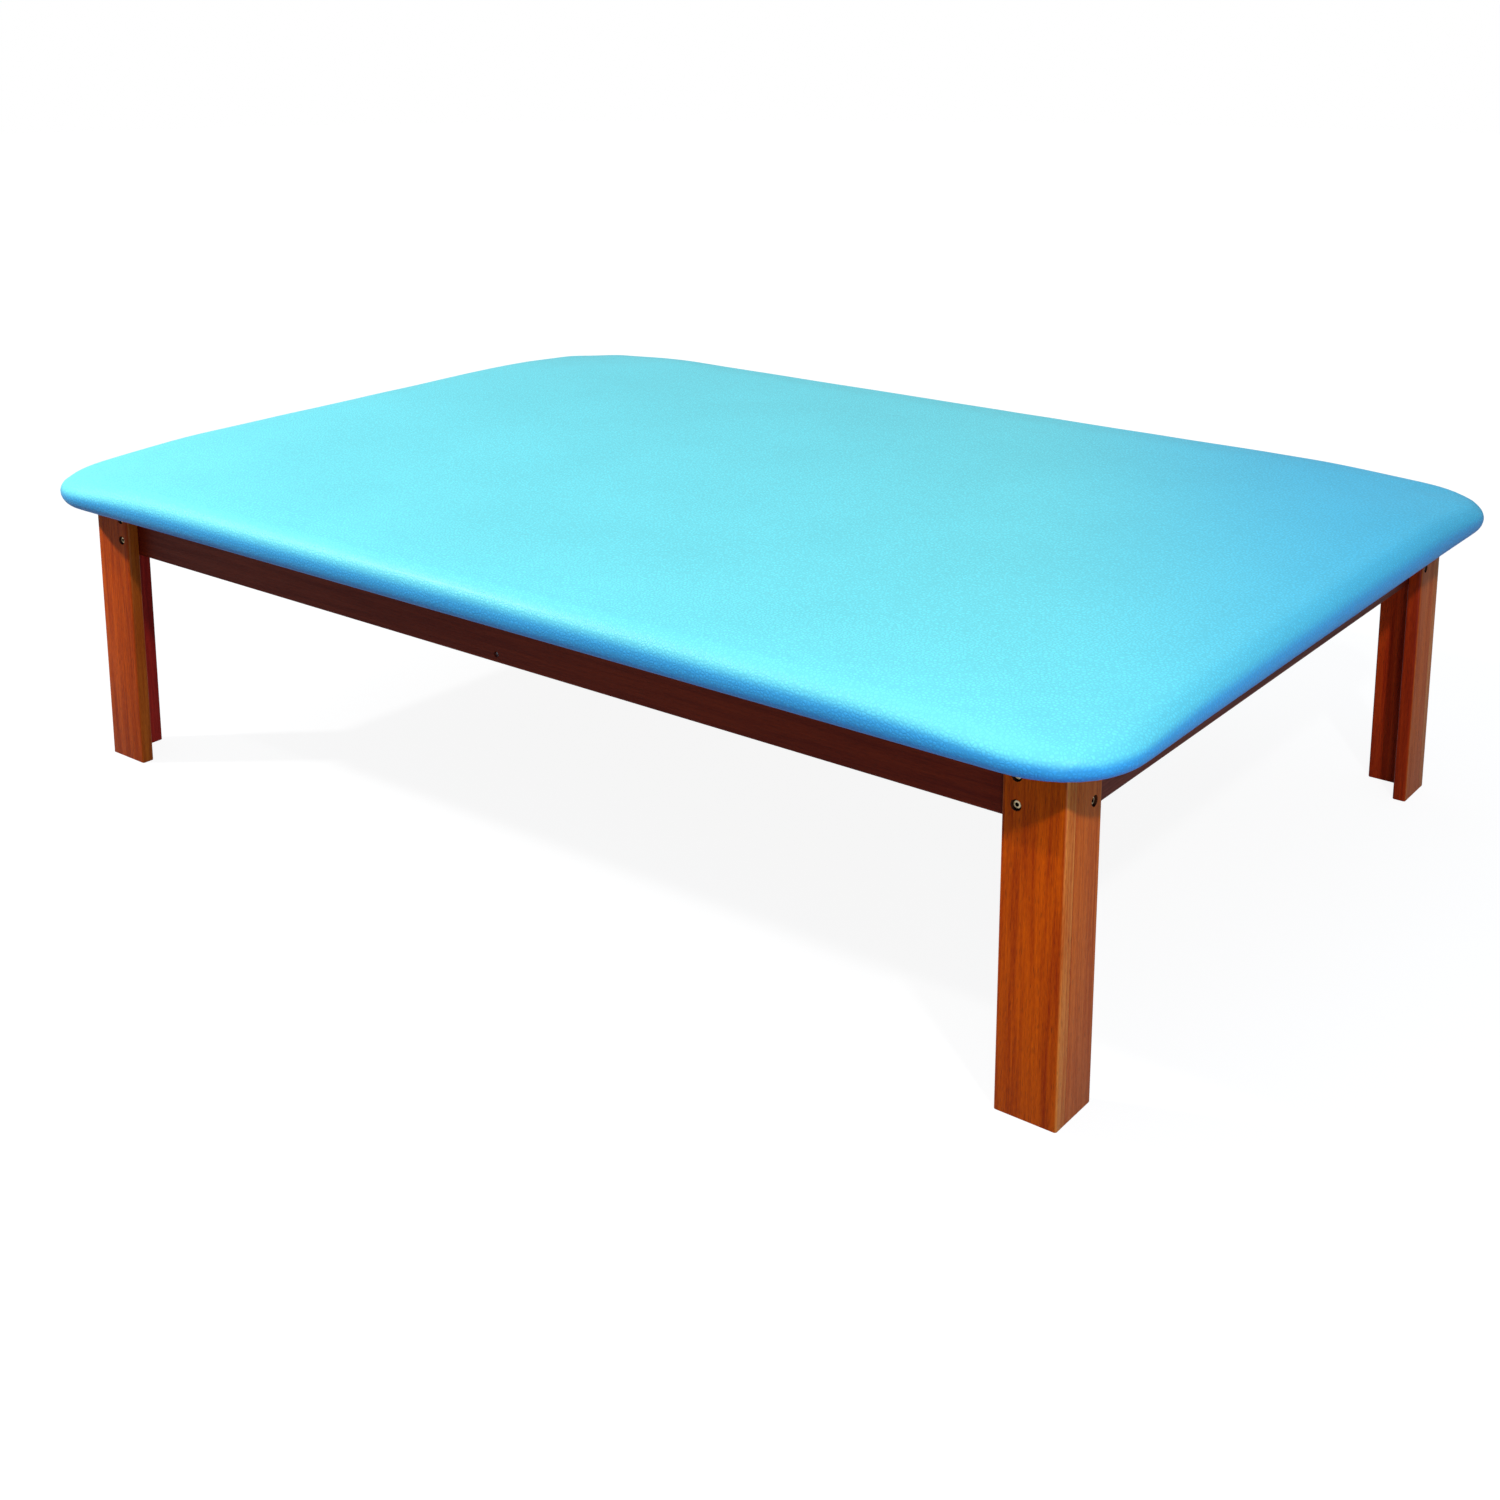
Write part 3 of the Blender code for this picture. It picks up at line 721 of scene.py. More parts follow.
def keep_modified(piece: bpy.types.Object) -> None:
    """Replace a piece's mesh by what its modifiers make of it, and take them off.

    Args:
        piece: The piece.
    """
    seen = piece.evaluated_get(bpy.context.evaluated_depsgraph_get())
    mesh = bpy.data.meshes.new_from_object(seen)
    piece.modifiers.clear()
    old = piece.data
    mesh.name = old.name
    piece.data = mesh
    bpy.data.meshes.remove(old)


# The pad


@dataclass
class Pad:
    """The upholstered top: foam lapped over the panel, and a vinyl cover cut flat and wrapped round it."""

    length: float = 2.000
    width: float = 1.400
    corner_radius: float = 0.125
    base: float = 0.4568
    top: float = 0.5231
    hem_inset: float = 0.063
    # The lower roll is an upright quarter of an ellipse, and the upper one starts at its widest place.
    base_roll: float = 0.027
    base_draw: float = 0.020
    top_roll: float = 0.038
    # The share of its thickness that the pad loses at a corner, where the cloth is pulled tightest,
    # and how far from the corner that starts
    corner_sink: float = 0.26
    corner_reach: float = 0.33
    # How much higher the middle is than the roll's top, and how far from the edge most of that is gained
    crown: float = 0.010
    crown_reach: float = 0.13
    draw_in: float = 0.003
    vinyl: float = 0.0012
    slack: float = 0.0005
    panel_inset: float = 0.026
    frame_inset: float = 0.075
    frame_gap: float = 0.0012
    panel_top: float = 0.4763
    panel_gap: float = 0.0003
    border_cells: int = 22
    top_cell: float = 0.030
    # The cloth is held up to this many times the lower roll's height, and ever less over the last of them
    hold: float = 1.3
    # How far the cloth may swell outwards, which is all that the foam allows, and the hollows left in it,
    # with how many there are to a metre, wide ones and narrow ones
    swell_limit: float = 0.003
    unevenness: float = 0.0007
    hollows: tuple[float, float] = (6.0, 17.0)
    # The pleats under a corner, and the share of the way round the lower roll that they climb
    pleats: int = 9
    pleat_depth: float = 0.0016
    pleat_reach: float = 0.7
    # Staples are a little askew, in radians, and pressed a little into the hem
    staple_spacing: float = 0.040
    staple_crown: float = 0.0105
    staple_wire: float = 0.0007
    staple_inset: float = 0.012
    staple_skew: float = 0.12
    staple_sink: float = 0.1 * MM
    # The cloth stays smooth over a bend up to this angle
    sharp_angle: float = math.radians(60)
    profile_steps: int = 60
    settle_frames: int = 20
    profile: tuple[np.ndarray, np.ndarray, np.ndarray] = field(init=False)
    widest: float = field(init=False)

    def __post_init__(self) -> None:
        """Work out the cross-section from the hem to the crown, by distance along the cloth."""
        steps = self.profile_steps
        turns = np.linspace(0, math.pi / 2, steps)
        rise = self.top - self.crown - self.base - self.base_roll
        inset = np.concatenate(
            [
                np.linspace(self.hem_inset, self.base_draw, steps),
                self.base_draw * (1 - np.sin(turns)),
                self.top_roll * (1 - np.cos(turns)),
            ]
        )
        height = np.concatenate(
            [
                np.full(steps, self.base),
                self.base + self.base_roll * (1 - np.cos(turns)),
                self.base + self.base_roll + rise * np.sin(turns),
            ]
        )
        along = np.concatenate([[0], np.cumsum(np.hypot(np.diff(inset), np.diff(height)))])
        self.profile = (along, inset, height)
        self.widest = float(along[2 * steps - 1])

    @property
    def wrap(self) -> float:
        """How much cloth goes round the edge, from the hem to where the crown starts."""
        return float(self.profile[0][-1])

    def wrapped(self, x: float, y: float) -> Vector:
        """Carry a point of the flat cloth to its place on the pad.

        Args:
            x: The point's place along the cloth, from its middle.
            y: Its place across the cloth, from its middle.

        Returns:
            The point on the pad's outside.
        """
        extra = self.wrap - self.top_roll
        half = Vector((self.length / 2 + extra, self.width / 2 + extra))
        radius = self.corner_radius + extra
        place = Vector((abs(x), abs(y)))
        centre = half - Vector((radius, radius))
        local = place - centre
        corner = 0.0
        if local.x > 0 and local.y > 0:
            share = local / radius
            local = radius * Vector(
                (share.x * math.sqrt(1 - share.y**2 / 2), share.y * math.sqrt(1 - share.x**2 / 2))
            )
            outward = local.normalized()
            corner = 2 * outward.x * outward.y
            from_edge = radius - local.length
            place = centre + local
        elif half.x - place.x < half.y - place.y:
            outward, from_edge = Vector((1, 0)), half.x - place.x
        else:
            outward, from_edge = Vector((0, 1)), half.y - place.y
        if from_edge < self.wrap:
            along, insets, heights = self.profile
            inset = float(np.interp(from_edge, along, insets))
            height = float(np.interp(from_edge, along, heights))
            turned_under = from_edge < self.hem_length
            if turned_under and corner:
                inset = self.base_draw + (inset - self.base_draw) * self.hem_share(outward)
            plan = place + outward * (from_edge - extra - inset)
            plan -= outward * self.drawn(place, outward, from_edge)
            height -= self.pleated(outward, corner, from_edge)
        else:
            plan = place
            height = self.top - self.crown
        if from_edge > self.widest:
            height += self.crowned(plan) * min((from_edge - self.widest) / self.base_roll, 1)
        height = self.base + (height - self.base) * (1 - self.sunk(plan))
        return Vector((math.copysign(plan.x, x), math.copysign(plan.y, y), height))

    def crowned(self, plan: Vector) -> float:
        """How much the crown adds to the height of a point on top.

        Args:
            plan: The point's place, in the +X +Y quarter.

        Returns:
            The height, in metres.
        """
        height = self.crown
        for half, place in ((self.length / 2, plan.x), (self.width / 2, plan.y)):
            height *= 1 - math.exp(-max(half - place, 0) / self.crown_reach)
        return height

    def sunk(self, plan: Vector) -> float:
        """The share of its height that a point loses near a corner.

        Args:
            plan: The point's place, in the +X +Y quarter.

        Returns:
            The share, from 0 to corner_sink.
        """
        share = self.corner_sink
        for half, place in ((self.length / 2, plan.x), (self.width / 2, plan.y)):
            near = min(max(1 - (half - place) / self.corner_reach, 0), 1)
            share *= near * near * (3 - 2 * near)
        return share

    @property
    def hem_length(self) -> float:
        """How much cloth lies flat under the panel."""
        return self.hem_inset - self.base_draw

    def hem_share(self, outward: Vector) -> float:
        """How much of the hem's width fits between the roll and the leg at a corner.

        Args:
            outward: Which way is outward here, in the +X +Y quarter.

        Returns:
            The share, up to 1.
        """
        leg_reach = (self.corner_radius - self.frame_inset) / max(outward)
        room = self.corner_radius - leg_reach - self.frame_gap - self.base_draw
        return min(room / self.hem_length, 1)

    def drawn(self, place: Vector, outward: Vector, from_edge: float) -> float:
        """How far a side draws in here between its corners.

        Args:
            place: The point on the flat cloth, in the +X +Y quarter.
            outward: Which way is outward there.
            from_edge: How far the point is from the cloth's edge.

        Returns:
            The distance, in metres.
        """
        if outward.x and outward.y:
            return 0.0
        run = self.width / 2 - self.corner_radius if outward.x else self.length / 2 - self.corner_radius
        across = place.y if outward.x else place.x
        share = min(max((from_edge - self.hem_length) / (self.widest - self.hem_length), 0), 1)
        fade = min(max((self.wrap - from_edge) / (self.wrap - self.widest), 0), 1)
        return self.draw_in * share * fade**0.5 * max(1 - (across / run) ** 2, 0)

    def pleated(self, outward: Vector, corner: float, from_edge: float) -> float:
        """How far the cloth hangs down in the pleats gathered under a corner.

        Args:
            outward: Which way is outward here, in the +X +Y quarter.
            corner: From 0 at the corner's ends to 1 at its middle.
            from_edge: How far the point is from the cloth's edge.

        Returns:
            The distance, in metres.
        """
        gathered = self.hem_length + (self.widest - self.hem_length) * self.pleat_reach
        if corner <= 0 or from_edge >= gathered:
            return 0.0
        turn = math.atan2(outward.y, outward.x) / (math.pi / 2)
        wave = 0.5 - 0.5 * math.cos(FULL_TURN * self.pleats * turn)
        return self.pleat_depth * wave**2 * min(corner * 2, 1) * (1 - from_edge / gathered)

    def flat_cloth(self) -> bmesh.types.BMesh:
        """Lay the cloth flat: a grid with narrow cells at its edge, where it goes round the foam.

        Returns:
            The cloth's mesh.
        """
        extra = self.wrap - self.top_roll
        halves = (self.length / 2 + extra, self.width / 2 + extra)
        inner = [math.ceil(2 * (half - self.wrap) / self.top_cell) for half in halves]
        counts = [count + 2 * self.border_cells for count in inner]
        cloth = bmesh.new()
        bmesh.ops.create_grid(cloth, x_segments=counts[0], y_segments=counts[1], size=1)
        border = self.wrap / self.border_cells
        for vert in cloth.verts:
            for axis, (half, count) in enumerate(zip(halves, counts)):
                index = round((vert.co[axis] + 1) / 2 * count)
                rank = min(index, count - index)
                if rank <= self.border_cells:
                    place = half - rank * border
                else:
                    cell = 2 * (half - self.wrap) / (count - 2 * self.border_cells)
                    place = half - self.wrap - (rank - self.border_cells) * cell
                vert.co[axis] = math.copysign(place, index - count / 2)
        return cloth

    def wrap_cloth(self) -> tuple[bmesh.types.BMesh, list[float]]:
        """The cloth wrapped round the pad.

        Returns:
            The mesh, and for each vertex how firmly it is held, from 0 to 1.
        """
        cloth = self.flat_cloth()
        held = []
        for vert in cloth.verts:
            vert.co = self.wrapped(vert.co.x, vert.co.y)
            above = (vert.co.z - self.base) / self.base_roll
            held.append(min(max(self.hold - above, 0), 1))
        return cloth, held

    def settle(self, piece: bpy.types.Object, held: list[float]) -> None:
        """Let the cloth settle over the foam's push with Blender's Cloth, and keep the result.

        Args:
            piece: The cover, which is a single skin.
            held: For each vertex, how firmly it is held.
        """
        group = piece.vertex_groups.new(name="held")
        for index, weight in enumerate(held):
            group.add([index], weight, "REPLACE")
        before = [(vert.co.copy(), vert.normal.copy()) for vert in piece.data.vertices]
        cloth = piece.modifiers.new("settle", "CLOTH").settings
        cloth.quality = 6
        cloth.mass = 0.6
        cloth.tension_stiffness = 30
        cloth.compression_stiffness = 30
        cloth.shear_stiffness = 12
        cloth.bending_stiffness = 1.5
        cloth.vertex_group_mass = "held"
        cloth.use_pressure = True
        cloth.uniform_pressure_force = 4
        cloth.effector_weights.gravity = 0
        scene = bpy.context.scene
        for moment in range(1, self.settle_frames + 1):
            scene.frame_set(moment)
        keep_modified(piece)
        scene.frame_set(1)
        piece.vertex_groups.clear()
        for vert, (start, normal), firm in zip(piece.data.vertices, before, held):
            swell = (vert.co - start).dot(normal) * (1 - firm)
            vert.co = start + normal * min(max(swell, 0), self.swell_limit)

    def soften(self, piece: bpy.types.Object) -> None:
        """Press slight hollows into the cover, where the foam under it gives unevenly.

        Args:
            piece: The cover.
        """
        normals = [vert.normal.copy() for vert in piece.data.vertices]
        for vert, normal in zip(piece.data.vertices, normals):
            if vert.co.z > self.base + self.base_roll / 2:
                wide, narrow = (noise.noise(vert.co * count) for count in self.hollows)
                uneven = wide + 0.5 * narrow
                vert.co += normal * self.unevenness * uneven

    def build_skin(self) -> bpy.types.Object:
        """Cut, wrap and settle the cover.

        Returns:
            The cover, which is still a single skin.
        """
        cloth, held = self.wrap_cloth()
        skin = as_piece("cover", cloth, VINYL, "vinyl_cover")
        self.settle(skin, held)
        self.soften(skin)
        return skin

    def thicken(self, piece: bpy.types.Object) -> None:
        """Give the cover's cloth its thickness.

        Args:
            piece: The cover, which is still a single skin.
        """
        smooth = piece.modifiers.new("finer", "SUBSURF")
        smooth.levels = smooth.render_levels = 1
        wall = piece.modifiers.new("thickness", "SOLIDIFY")
        wall.thickness = self.vinyl
        wall.offset = -1
        keep_modified(piece)
        piece.data.shade_smooth()
        piece.data.set_sharp_from_angle(angle=self.sharp_angle)

    def build_staples(self) -> None:
        """Staple the hem to the panel, along its four straight sides."""
        shaky = random.Random(11)
        run = self.outline_points(self.hem_inset - self.staple_inset, self.staple_spacing)
        staples = bmesh.new()
        for point, along in run:
            known = set(staples.verts)
            size = Matrix.Diagonal((self.staple_crown, self.staple_wire * 1.6, self.staple_wire)).to_4x4()
            corners = bmesh.ops.create_cube(staples, size=1, matrix=size)["verts"]
            edges = [edge for edge in staples.edges if edge.verts[0] in corners]
            eased(staples, edges, self.staple_wire * 0.3, 1)
            fresh = [vert for vert in staples.verts if vert not in known]
            turn = math.atan2(along.y, along.x) + shaky.uniform(-self.staple_skew, self.staple_skew)
            drop = self.base - self.staple_wire / 2 + self.staple_sink
            place = Matrix.Translation((point.x, point.y, drop)) @ Matrix.Rotation(turn, 4, "Z")
            bmesh.ops.transform(staples, matrix=place, verts=fresh)
        as_piece("hem_staples", staples, ZINC_STEEL)

    def outline_points(self, inset: float, spacing: float) -> list[tuple[Vector, Vector]]:
        """Evenly spaced places along the straight sides of the pad's outline.

        Args:
            inset: How far inside the pad's edge they lie.
            spacing: About how far apart they are.

        Returns:
            Each place, with the direction along the side there.
        """
        places = []
        halves = (self.length / 2, self.width / 2)
        for axis, (half_run, half_reach) in enumerate((halves, halves[::-1])):
            run = half_run - self.corner_radius
            count = round(2 * run / spacing)
            for side in (-1, 1):
                for index in range(count + 1):
                    point = Vector((0, 0))
                    point[axis] = -run + 2 * run * index / count
                    point[1 - axis] = side * (half_reach - inset)
                    along = Vector((0, 0))
                    along[axis] = 1
                    places.append((point, along))
        return places

    def build_foam(self, skin: bpy.types.Object) -> None:
        """Make the foam inside the cover: the same form, rebated to sit on the panel and lap over its edge.

        Args:
            skin: The cover, which is still a single skin.
        """
        foam = bmesh.new()
        foam.from_mesh(skin.data)
        under = [face for face in foam.faces if face.calc_center_median().z < self.base + 2 * self.vinyl]
        bmesh.ops.delete(foam, geom=under, context="FACES")
        foam.normal_update()
        gap = self.vinyl + self.slack
        outward = {vert: vert.normal.copy() for vert in foam.verts}
        for vert, normal in outward.items():
            vert.co -= normal * gap
        rim = [edge for edge in foam.edges if edge.is_boundary]
        lip = bmesh.ops.extrude_edge_only(foam, edges=rim)["geom"]
        halves = (self.length / 2, self.width / 2)
        shrink = [(half - self.panel_inset) / (half - self.base_draw) for half in halves]
        for vert in (part for part in lip if isinstance(part, bmesh.types.BMVert)):
            vert.co.x *= shrink[0]
            vert.co.y *= shrink[1]
        inner_rim = [part for part in lip if isinstance(part, bmesh.types.BMEdge)]
        wall = bmesh.ops.extrude_edge_only(foam, edges=inner_rim)["geom"]
        for vert in (part for part in wall if isinstance(part, bmesh.types.BMVert)):
            vert.co.z = self.panel_top + self.panel_gap
        bmesh.ops.holes_fill(foam, edges=[edge for edge in foam.edges if edge.is_boundary], sides=0)
        piece = as_piece("foam", foam, FOAM, "foam_pad")

    def build(self) -> None:
        """Make the cover, the foam that fills it, and the staples that hold its hem."""
        skin = self.build_skin()
        self.build_foam(skin)
        self.thicken(skin)
        self.build_staples()


# Fasteners


def facing_frame(place: Vector, outward: Vector) -> Matrix:
    """The frame at a place, with +Z along the given direction."""
    return Matrix.Translation(place) @ outward.to_track_quat("Z", "Y").to_matrix().to_4x4()


@dataclass
class Stem:
    """A fastener's place, read from its CAD node, whose longest side is its axis."""

    node: str
    head_height: float

    @property
    def seat(self) -> Matrix:
        """Read where the head sits.

        Returns:
            The frame at the head's seat, with +Z looking out of the table.
        """
        low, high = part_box(self.node)
        size = high - low
        axis = 0 if size.x > size.y else 1
        middle = (low + high) / 2
        outward = Vector((0, 0, 0))
        outward[axis] = math.copysign(1, middle[axis])
        return facing_frame(middle + outward * (size[axis] / 2 - self.head_height), outward)


@dataclass
class Fastener:
    """A kind of fastener: its shape is made once, and copied to every place."""

    finish: ClassVar[Finish]
    inside: ClassVar[Finish | None] = None
    template: bmesh.types.BMesh = field(init=False)

    def __post_init__(self) -> None:
        """Make the shape once."""
        self.template = self.shape()

    def shape(self) -> bmesh.types.BMesh:
        """The fastener at the origin, with its seat on the XY plane and its head above it."""
        raise NotImplementedError

    def place(self, name: str, seats: Iterable[Matrix], *nodes: str) -> None:
        """Put copies of the fastener in the table, as one piece.

        Args:
            name: The piece's name.
            seats: Where each copy goes.
            *nodes: The CAD nodes that the piece stands for.
        """
        joined = bmesh.new()
        for seat in seats:
            known = set(joined.verts)
            mesh = bpy.data.meshes.new("copy")
            self.template.to_mesh(mesh)
            joined.from_mesh(mesh)
            bpy.data.meshes.remove(mesh)
            fresh = [vert for vert in joined.verts if vert not in known]
            bmesh.ops.transform(joined, matrix=seat, verts=fresh)
        as_piece(name, joined, self.finish, *nodes, inside=self.inside)


def threaded(outer: float, pitch: float, start: float, end: float) -> list[tuple[float, float]]:
    """The profile of a thread, drawn as rings.

    Args:
        outer: The thread's outer radius.
        pitch: The distance between its ridges.
        start: The height where it starts, the upper one.
        end: The height where it ends.

    Returns:
        Points of (radius, height) from the start down to the end.
    """
    root = outer - THREAD_DEPTH * pitch
    points = []
    for turn in range(int((start - end) / pitch)):
        top = start - turn * pitch
        for radius, share in zip((root, outer, outer), THREAD_POINTS):
            points.append((radius, top - share * pitch))
    return points


def cross_recess(head_radius: float, depth: float, top: float) -> list[tuple[bmesh.types.BMesh, str]]:
    """The cuts of a cross recess: two crossed blades that narrow as they go down.

    Each blade is a cutter of its own, because one that crosses itself isn't a closed body.

    Args:
        head_radius: The radius of the screw's head.
        depth: How deep it goes.
        top: The height of the screw's face.

    Returns:
        The blades, each with what is done with it.
    """
    cuts = []
    for quarter in range(2):
        blade = bmesh.new()
        bmesh.ops.create_cube(blade, size=1)
        for vert in blade.verts:
            low = vert.co.z < 0
            long, thick = BLADE_FOOT if low else BLADE_TOP
            vert.co.x *= head_radius * long
            vert.co.y *= head_radius * thick
            vert.co.z = top - depth if low else top + 0.1 * depth
        turn = Matrix.Rotation(quarter * math.pi / 2, 4, "Z")
        bmesh.ops.transform(blade, matrix=turn, verts=blade.verts)
        cuts.append((blade, "DIFFERENCE"))
    return cuts


def carved(
    body: bmesh.types.BMesh, *cutters: tuple[bmesh.types.BMesh, str], inside: Finish | None = None
) -> bmesh.types.BMesh:
    """Cut, join or intersect a shape with others, in turn.

    Args:
        body: The shape. It is freed.
        *cutters: Each other shape, which is freed, with what to do: DIFFERENCE, UNION or INTERSECT.
        inside: The finish of the faces that the cuts open, which is the second one of the piece's.

    Returns:
        The new shape.

    Raises:
        ValueError: A cut left nothing of it.
    """
    mesh = bpy.data.meshes.new("body")
    bmesh.ops.recalc_face_normals(body, faces=body.faces)
    body.to_mesh(mesh)
    body.free()
    piece = bpy.data.objects.new("body", mesh)
    bpy.context.scene.collection.objects.link(piece)
    if inside:
        mesh.materials.append(None)
    for cutter, what in cutters:
        combine(piece, cutter, what, inside)
    shape = bmesh.new()
    shape.from_mesh(piece.data)
    done = piece.data
    bpy.data.objects.remove(piece)
    bpy.data.meshes.remove(done)
    if not shape.faces:
        raise ValueError("a cut left nothing of a shape")
    return shape


@dataclass
class CapScrew(Fastener):
    """An M6 socket cap screw: a knurled head with a hexagon socket, and a shank threaded at its end."""

    finish: ClassVar[Finish] = BOLT_STEEL
    # The socket's inside is painted shade
    inside: ClassVar[Finish] = SOCKET_PAINTED_SHADE
    head_radius: float = 5.0 * MM
    head_height: float = 6.0 * MM
    chamfer: float = 0.5 * MM
    shank_radius: float = 3.0 * MM
    length: float = 45 * MM
    plain_length: float = 21 * MM
    run_out: float = 0.4 * MM
    pitch: float = 1.0 * MM
    socket_width: float = 5.0 * MM
    socket_depth: float = 3.4 * MM
    knurls: int = 36
    knurl_depth: float = 0.14 * MM

    def shape(self) -> bmesh.types.BMesh:
        """Turn the screw, knurl its head and sink its socket.

        Returns:
            The screw's mesh.
        """
        body = bmesh.new()
        profile = [
            (0, self.head_height),
            (self.head_radius - self.chamfer - 0.2 * MM, self.head_height),
            (self.head_radius - self.chamfer / 2, self.head_height - 0.15 * MM),
            (self.head_radius, self.head_height - self.chamfer),
            (self.head_radius, self.chamfer),
            (self.head_radius - 0.3 * MM, 0),
            (self.shank_radius, 0),
            (self.shank_radius, self.run_out - self.plain_length),
            *threaded(self.shank_radius, self.pitch, -self.plain_length, 1 * MM - self.length),
            (self.shank_radius - 0.8 * MM, -self.length),
            (0, -self.length),
        ]
        for vert in spun(body, profile, 2 * self.knurls):
            reach = math.hypot(vert.co.x, vert.co.y)
            if abs(reach - self.head_radius) < MERGE_DISTANCE and vert.co.z > 0:
                column = round(math.atan2(vert.co.y, vert.co.x) / FULL_TURN * 2 * self.knurls)
                if column % 2:
                    vert.co.xy *= 1 - self.knurl_depth / self.head_radius
        corner_radius = self.socket_width / math.sqrt(3)
        socket = bmesh.new()
        bmesh.ops.create_cone(
            socket,
            cap_ends=True,
            segments=6,
            radius1=corner_radius,
            radius2=corner_radius,
            depth=2 * self.socket_depth,
            matrix=Matrix.Translation((0, 0, self.head_height)),
        )
        return carved(body, (socket, "DIFFERENCE"), inside=self.inside)


@dataclass
class FlangeNut(Fastener):
    """An M6 flange nut: a hexagon with turned corners on a thin sloped flange. It hangs below its seat."""

    finish: ClassVar[Finish] = ZINC_STEEL
    flange_radius: float = 6.8 * MM
    flange_thickness: float = 1.4 * MM
    width: float = 10.0 * MM
    height: float = 6.0 * MM
    bore: float = 3.05 * MM
    sides: int = 48

    def shape(self) -> bmesh.types.BMesh:
        """Make the hexagon, turn its corners, add the flange and drill the bore.

        Returns:
            The nut's mesh.
        """
        corner_radius = self.width / math.sqrt(3)
        hexagon = bmesh.new()
        bmesh.ops.create_cone(
            hexagon,
            cap_ends=True,
            segments=6,
            radius1=corner_radius,
            radius2=corner_radius,
            depth=self.height - 0.5 * MM,
            matrix=Matrix.Translation((0, 0, -(self.height + 0.5 * MM) / 2)),
        )
        turned = bmesh.new()
        flat = self.width / 2
        spun(
            turned,
            [
                (0, 0.5 * MM),
                (corner_radius * 1.1, 0.5 * MM),
                (corner_radius * 1.1, -self.height + 1.0 * MM),
                (flat - 0.1 * MM, -self.height),
                (0, -self.height),
            ],
            self.sides,
        )
        flange = bmesh.new()
        spun(
            flange,
            [
                (0, 0),
                (self.flange_radius - 0.2 * MM, 0),
                (self.flange_radius, -0.2 * MM),
                (self.flange_radius, -0.7 * MM),
                (self.flange_radius - 0.2 * MM, -0.9 * MM),
                (flat, -self.flange_thickness),
                (0, -self.flange_thickness),
            ],
            self.sides,
        )
        bore = bmesh.new()
        spun(
            bore,
            [
                (0, 1 * MM),
                (self.bore, 1 * MM),
                (self.bore, -self.height + 0.4 * MM),
                (self.bore + 0.6 * MM, -self.height - 0.2 * MM),
                (0, -self.height - 0.2 * MM),
            ],
            self.sides,
        )
        return carved(hexagon, (turned, "INTERSECT"), (flange, "UNION"), (bore, "DIFFERENCE"))


@dataclass
class RailScrew(Fastener):
    """A countersunk wood screw with a cross recess."""

    finish: ClassVar[Finish] = ZINC_STEEL
    head_radius: float = 4.3 * MM
    head_height: float = 2.7 * MM
    recess_depth: float = 2.0 * MM
    shank_radius: float = 2.25 * MM
    length: float = 55 * MM
    point: float = 5 * MM
    pitch: float = 2.0 * MM
    plain_length: float = 18 * MM
    sides: int = 32

    def shape(self) -> bmesh.types.BMesh:
        """Turn the screw and sink its recess. Its seat is the head's top.

        Returns:
            The screw's mesh.
        """
        body = bmesh.new()
        profile = [
            (0, 0),
            (self.head_radius - 0.1 * MM, 0),
            (self.head_radius, -0.2 * MM),
            (self.shank_radius * 0.8, -self.head_height),
            (self.shank_radius * 0.8, -self.plain_length),
            *threaded(self.shank_radius, self.pitch, -self.plain_length, self.point - self.length),
            (self.shank_radius * 0.5, self.point * 0.6 - self.length),
            (0, -self.length),
        ]
        spun(body, profile, self.sides)
        return carved(body, *cross_recess(self.head_radius, self.recess_depth, 0))


@dataclass
class PanHeadScrew(Fastener):
    """A short pan-head screw with a cross recess, which holds a bracket's leaf."""

    finish: ClassVar[Finish] = ZINC_STEEL
    head_radius: float = 3.7 * MM
    head_height: float = 2.3 * MM
    recess_depth: float = 1.5 * MM
    seat_gap: float = 0.05 * MM
    shank_radius: float = 1.9 * MM
    length: float = 13 * MM
    point: float = 2 * MM
    sides: int = 28

    def shape(self) -> bmesh.types.BMesh:
        """Turn the screw and sink its recess.

        Returns:
            The screw's mesh.
        """
        body = bmesh.new()
        dome = [
            (self.head_radius * math.sin(turn), self.head_height * (0.55 + 0.45 * math.cos(turn)))
            for turn in (math.radians(angle) for angle in (0, 30, 50, 68, 82, 90))
        ]
        profile = [
            *dome,
            (self.head_radius, self.seat_gap),
            (self.shank_radius, self.seat_gap),
            (self.shank_radius, self.point - self.length),
            (0, -self.length),
        ]
        spun(body, profile, self.sides)
        return carved(body, *cross_recess(self.head_radius, self.recess_depth, self.head_height))


# The frame


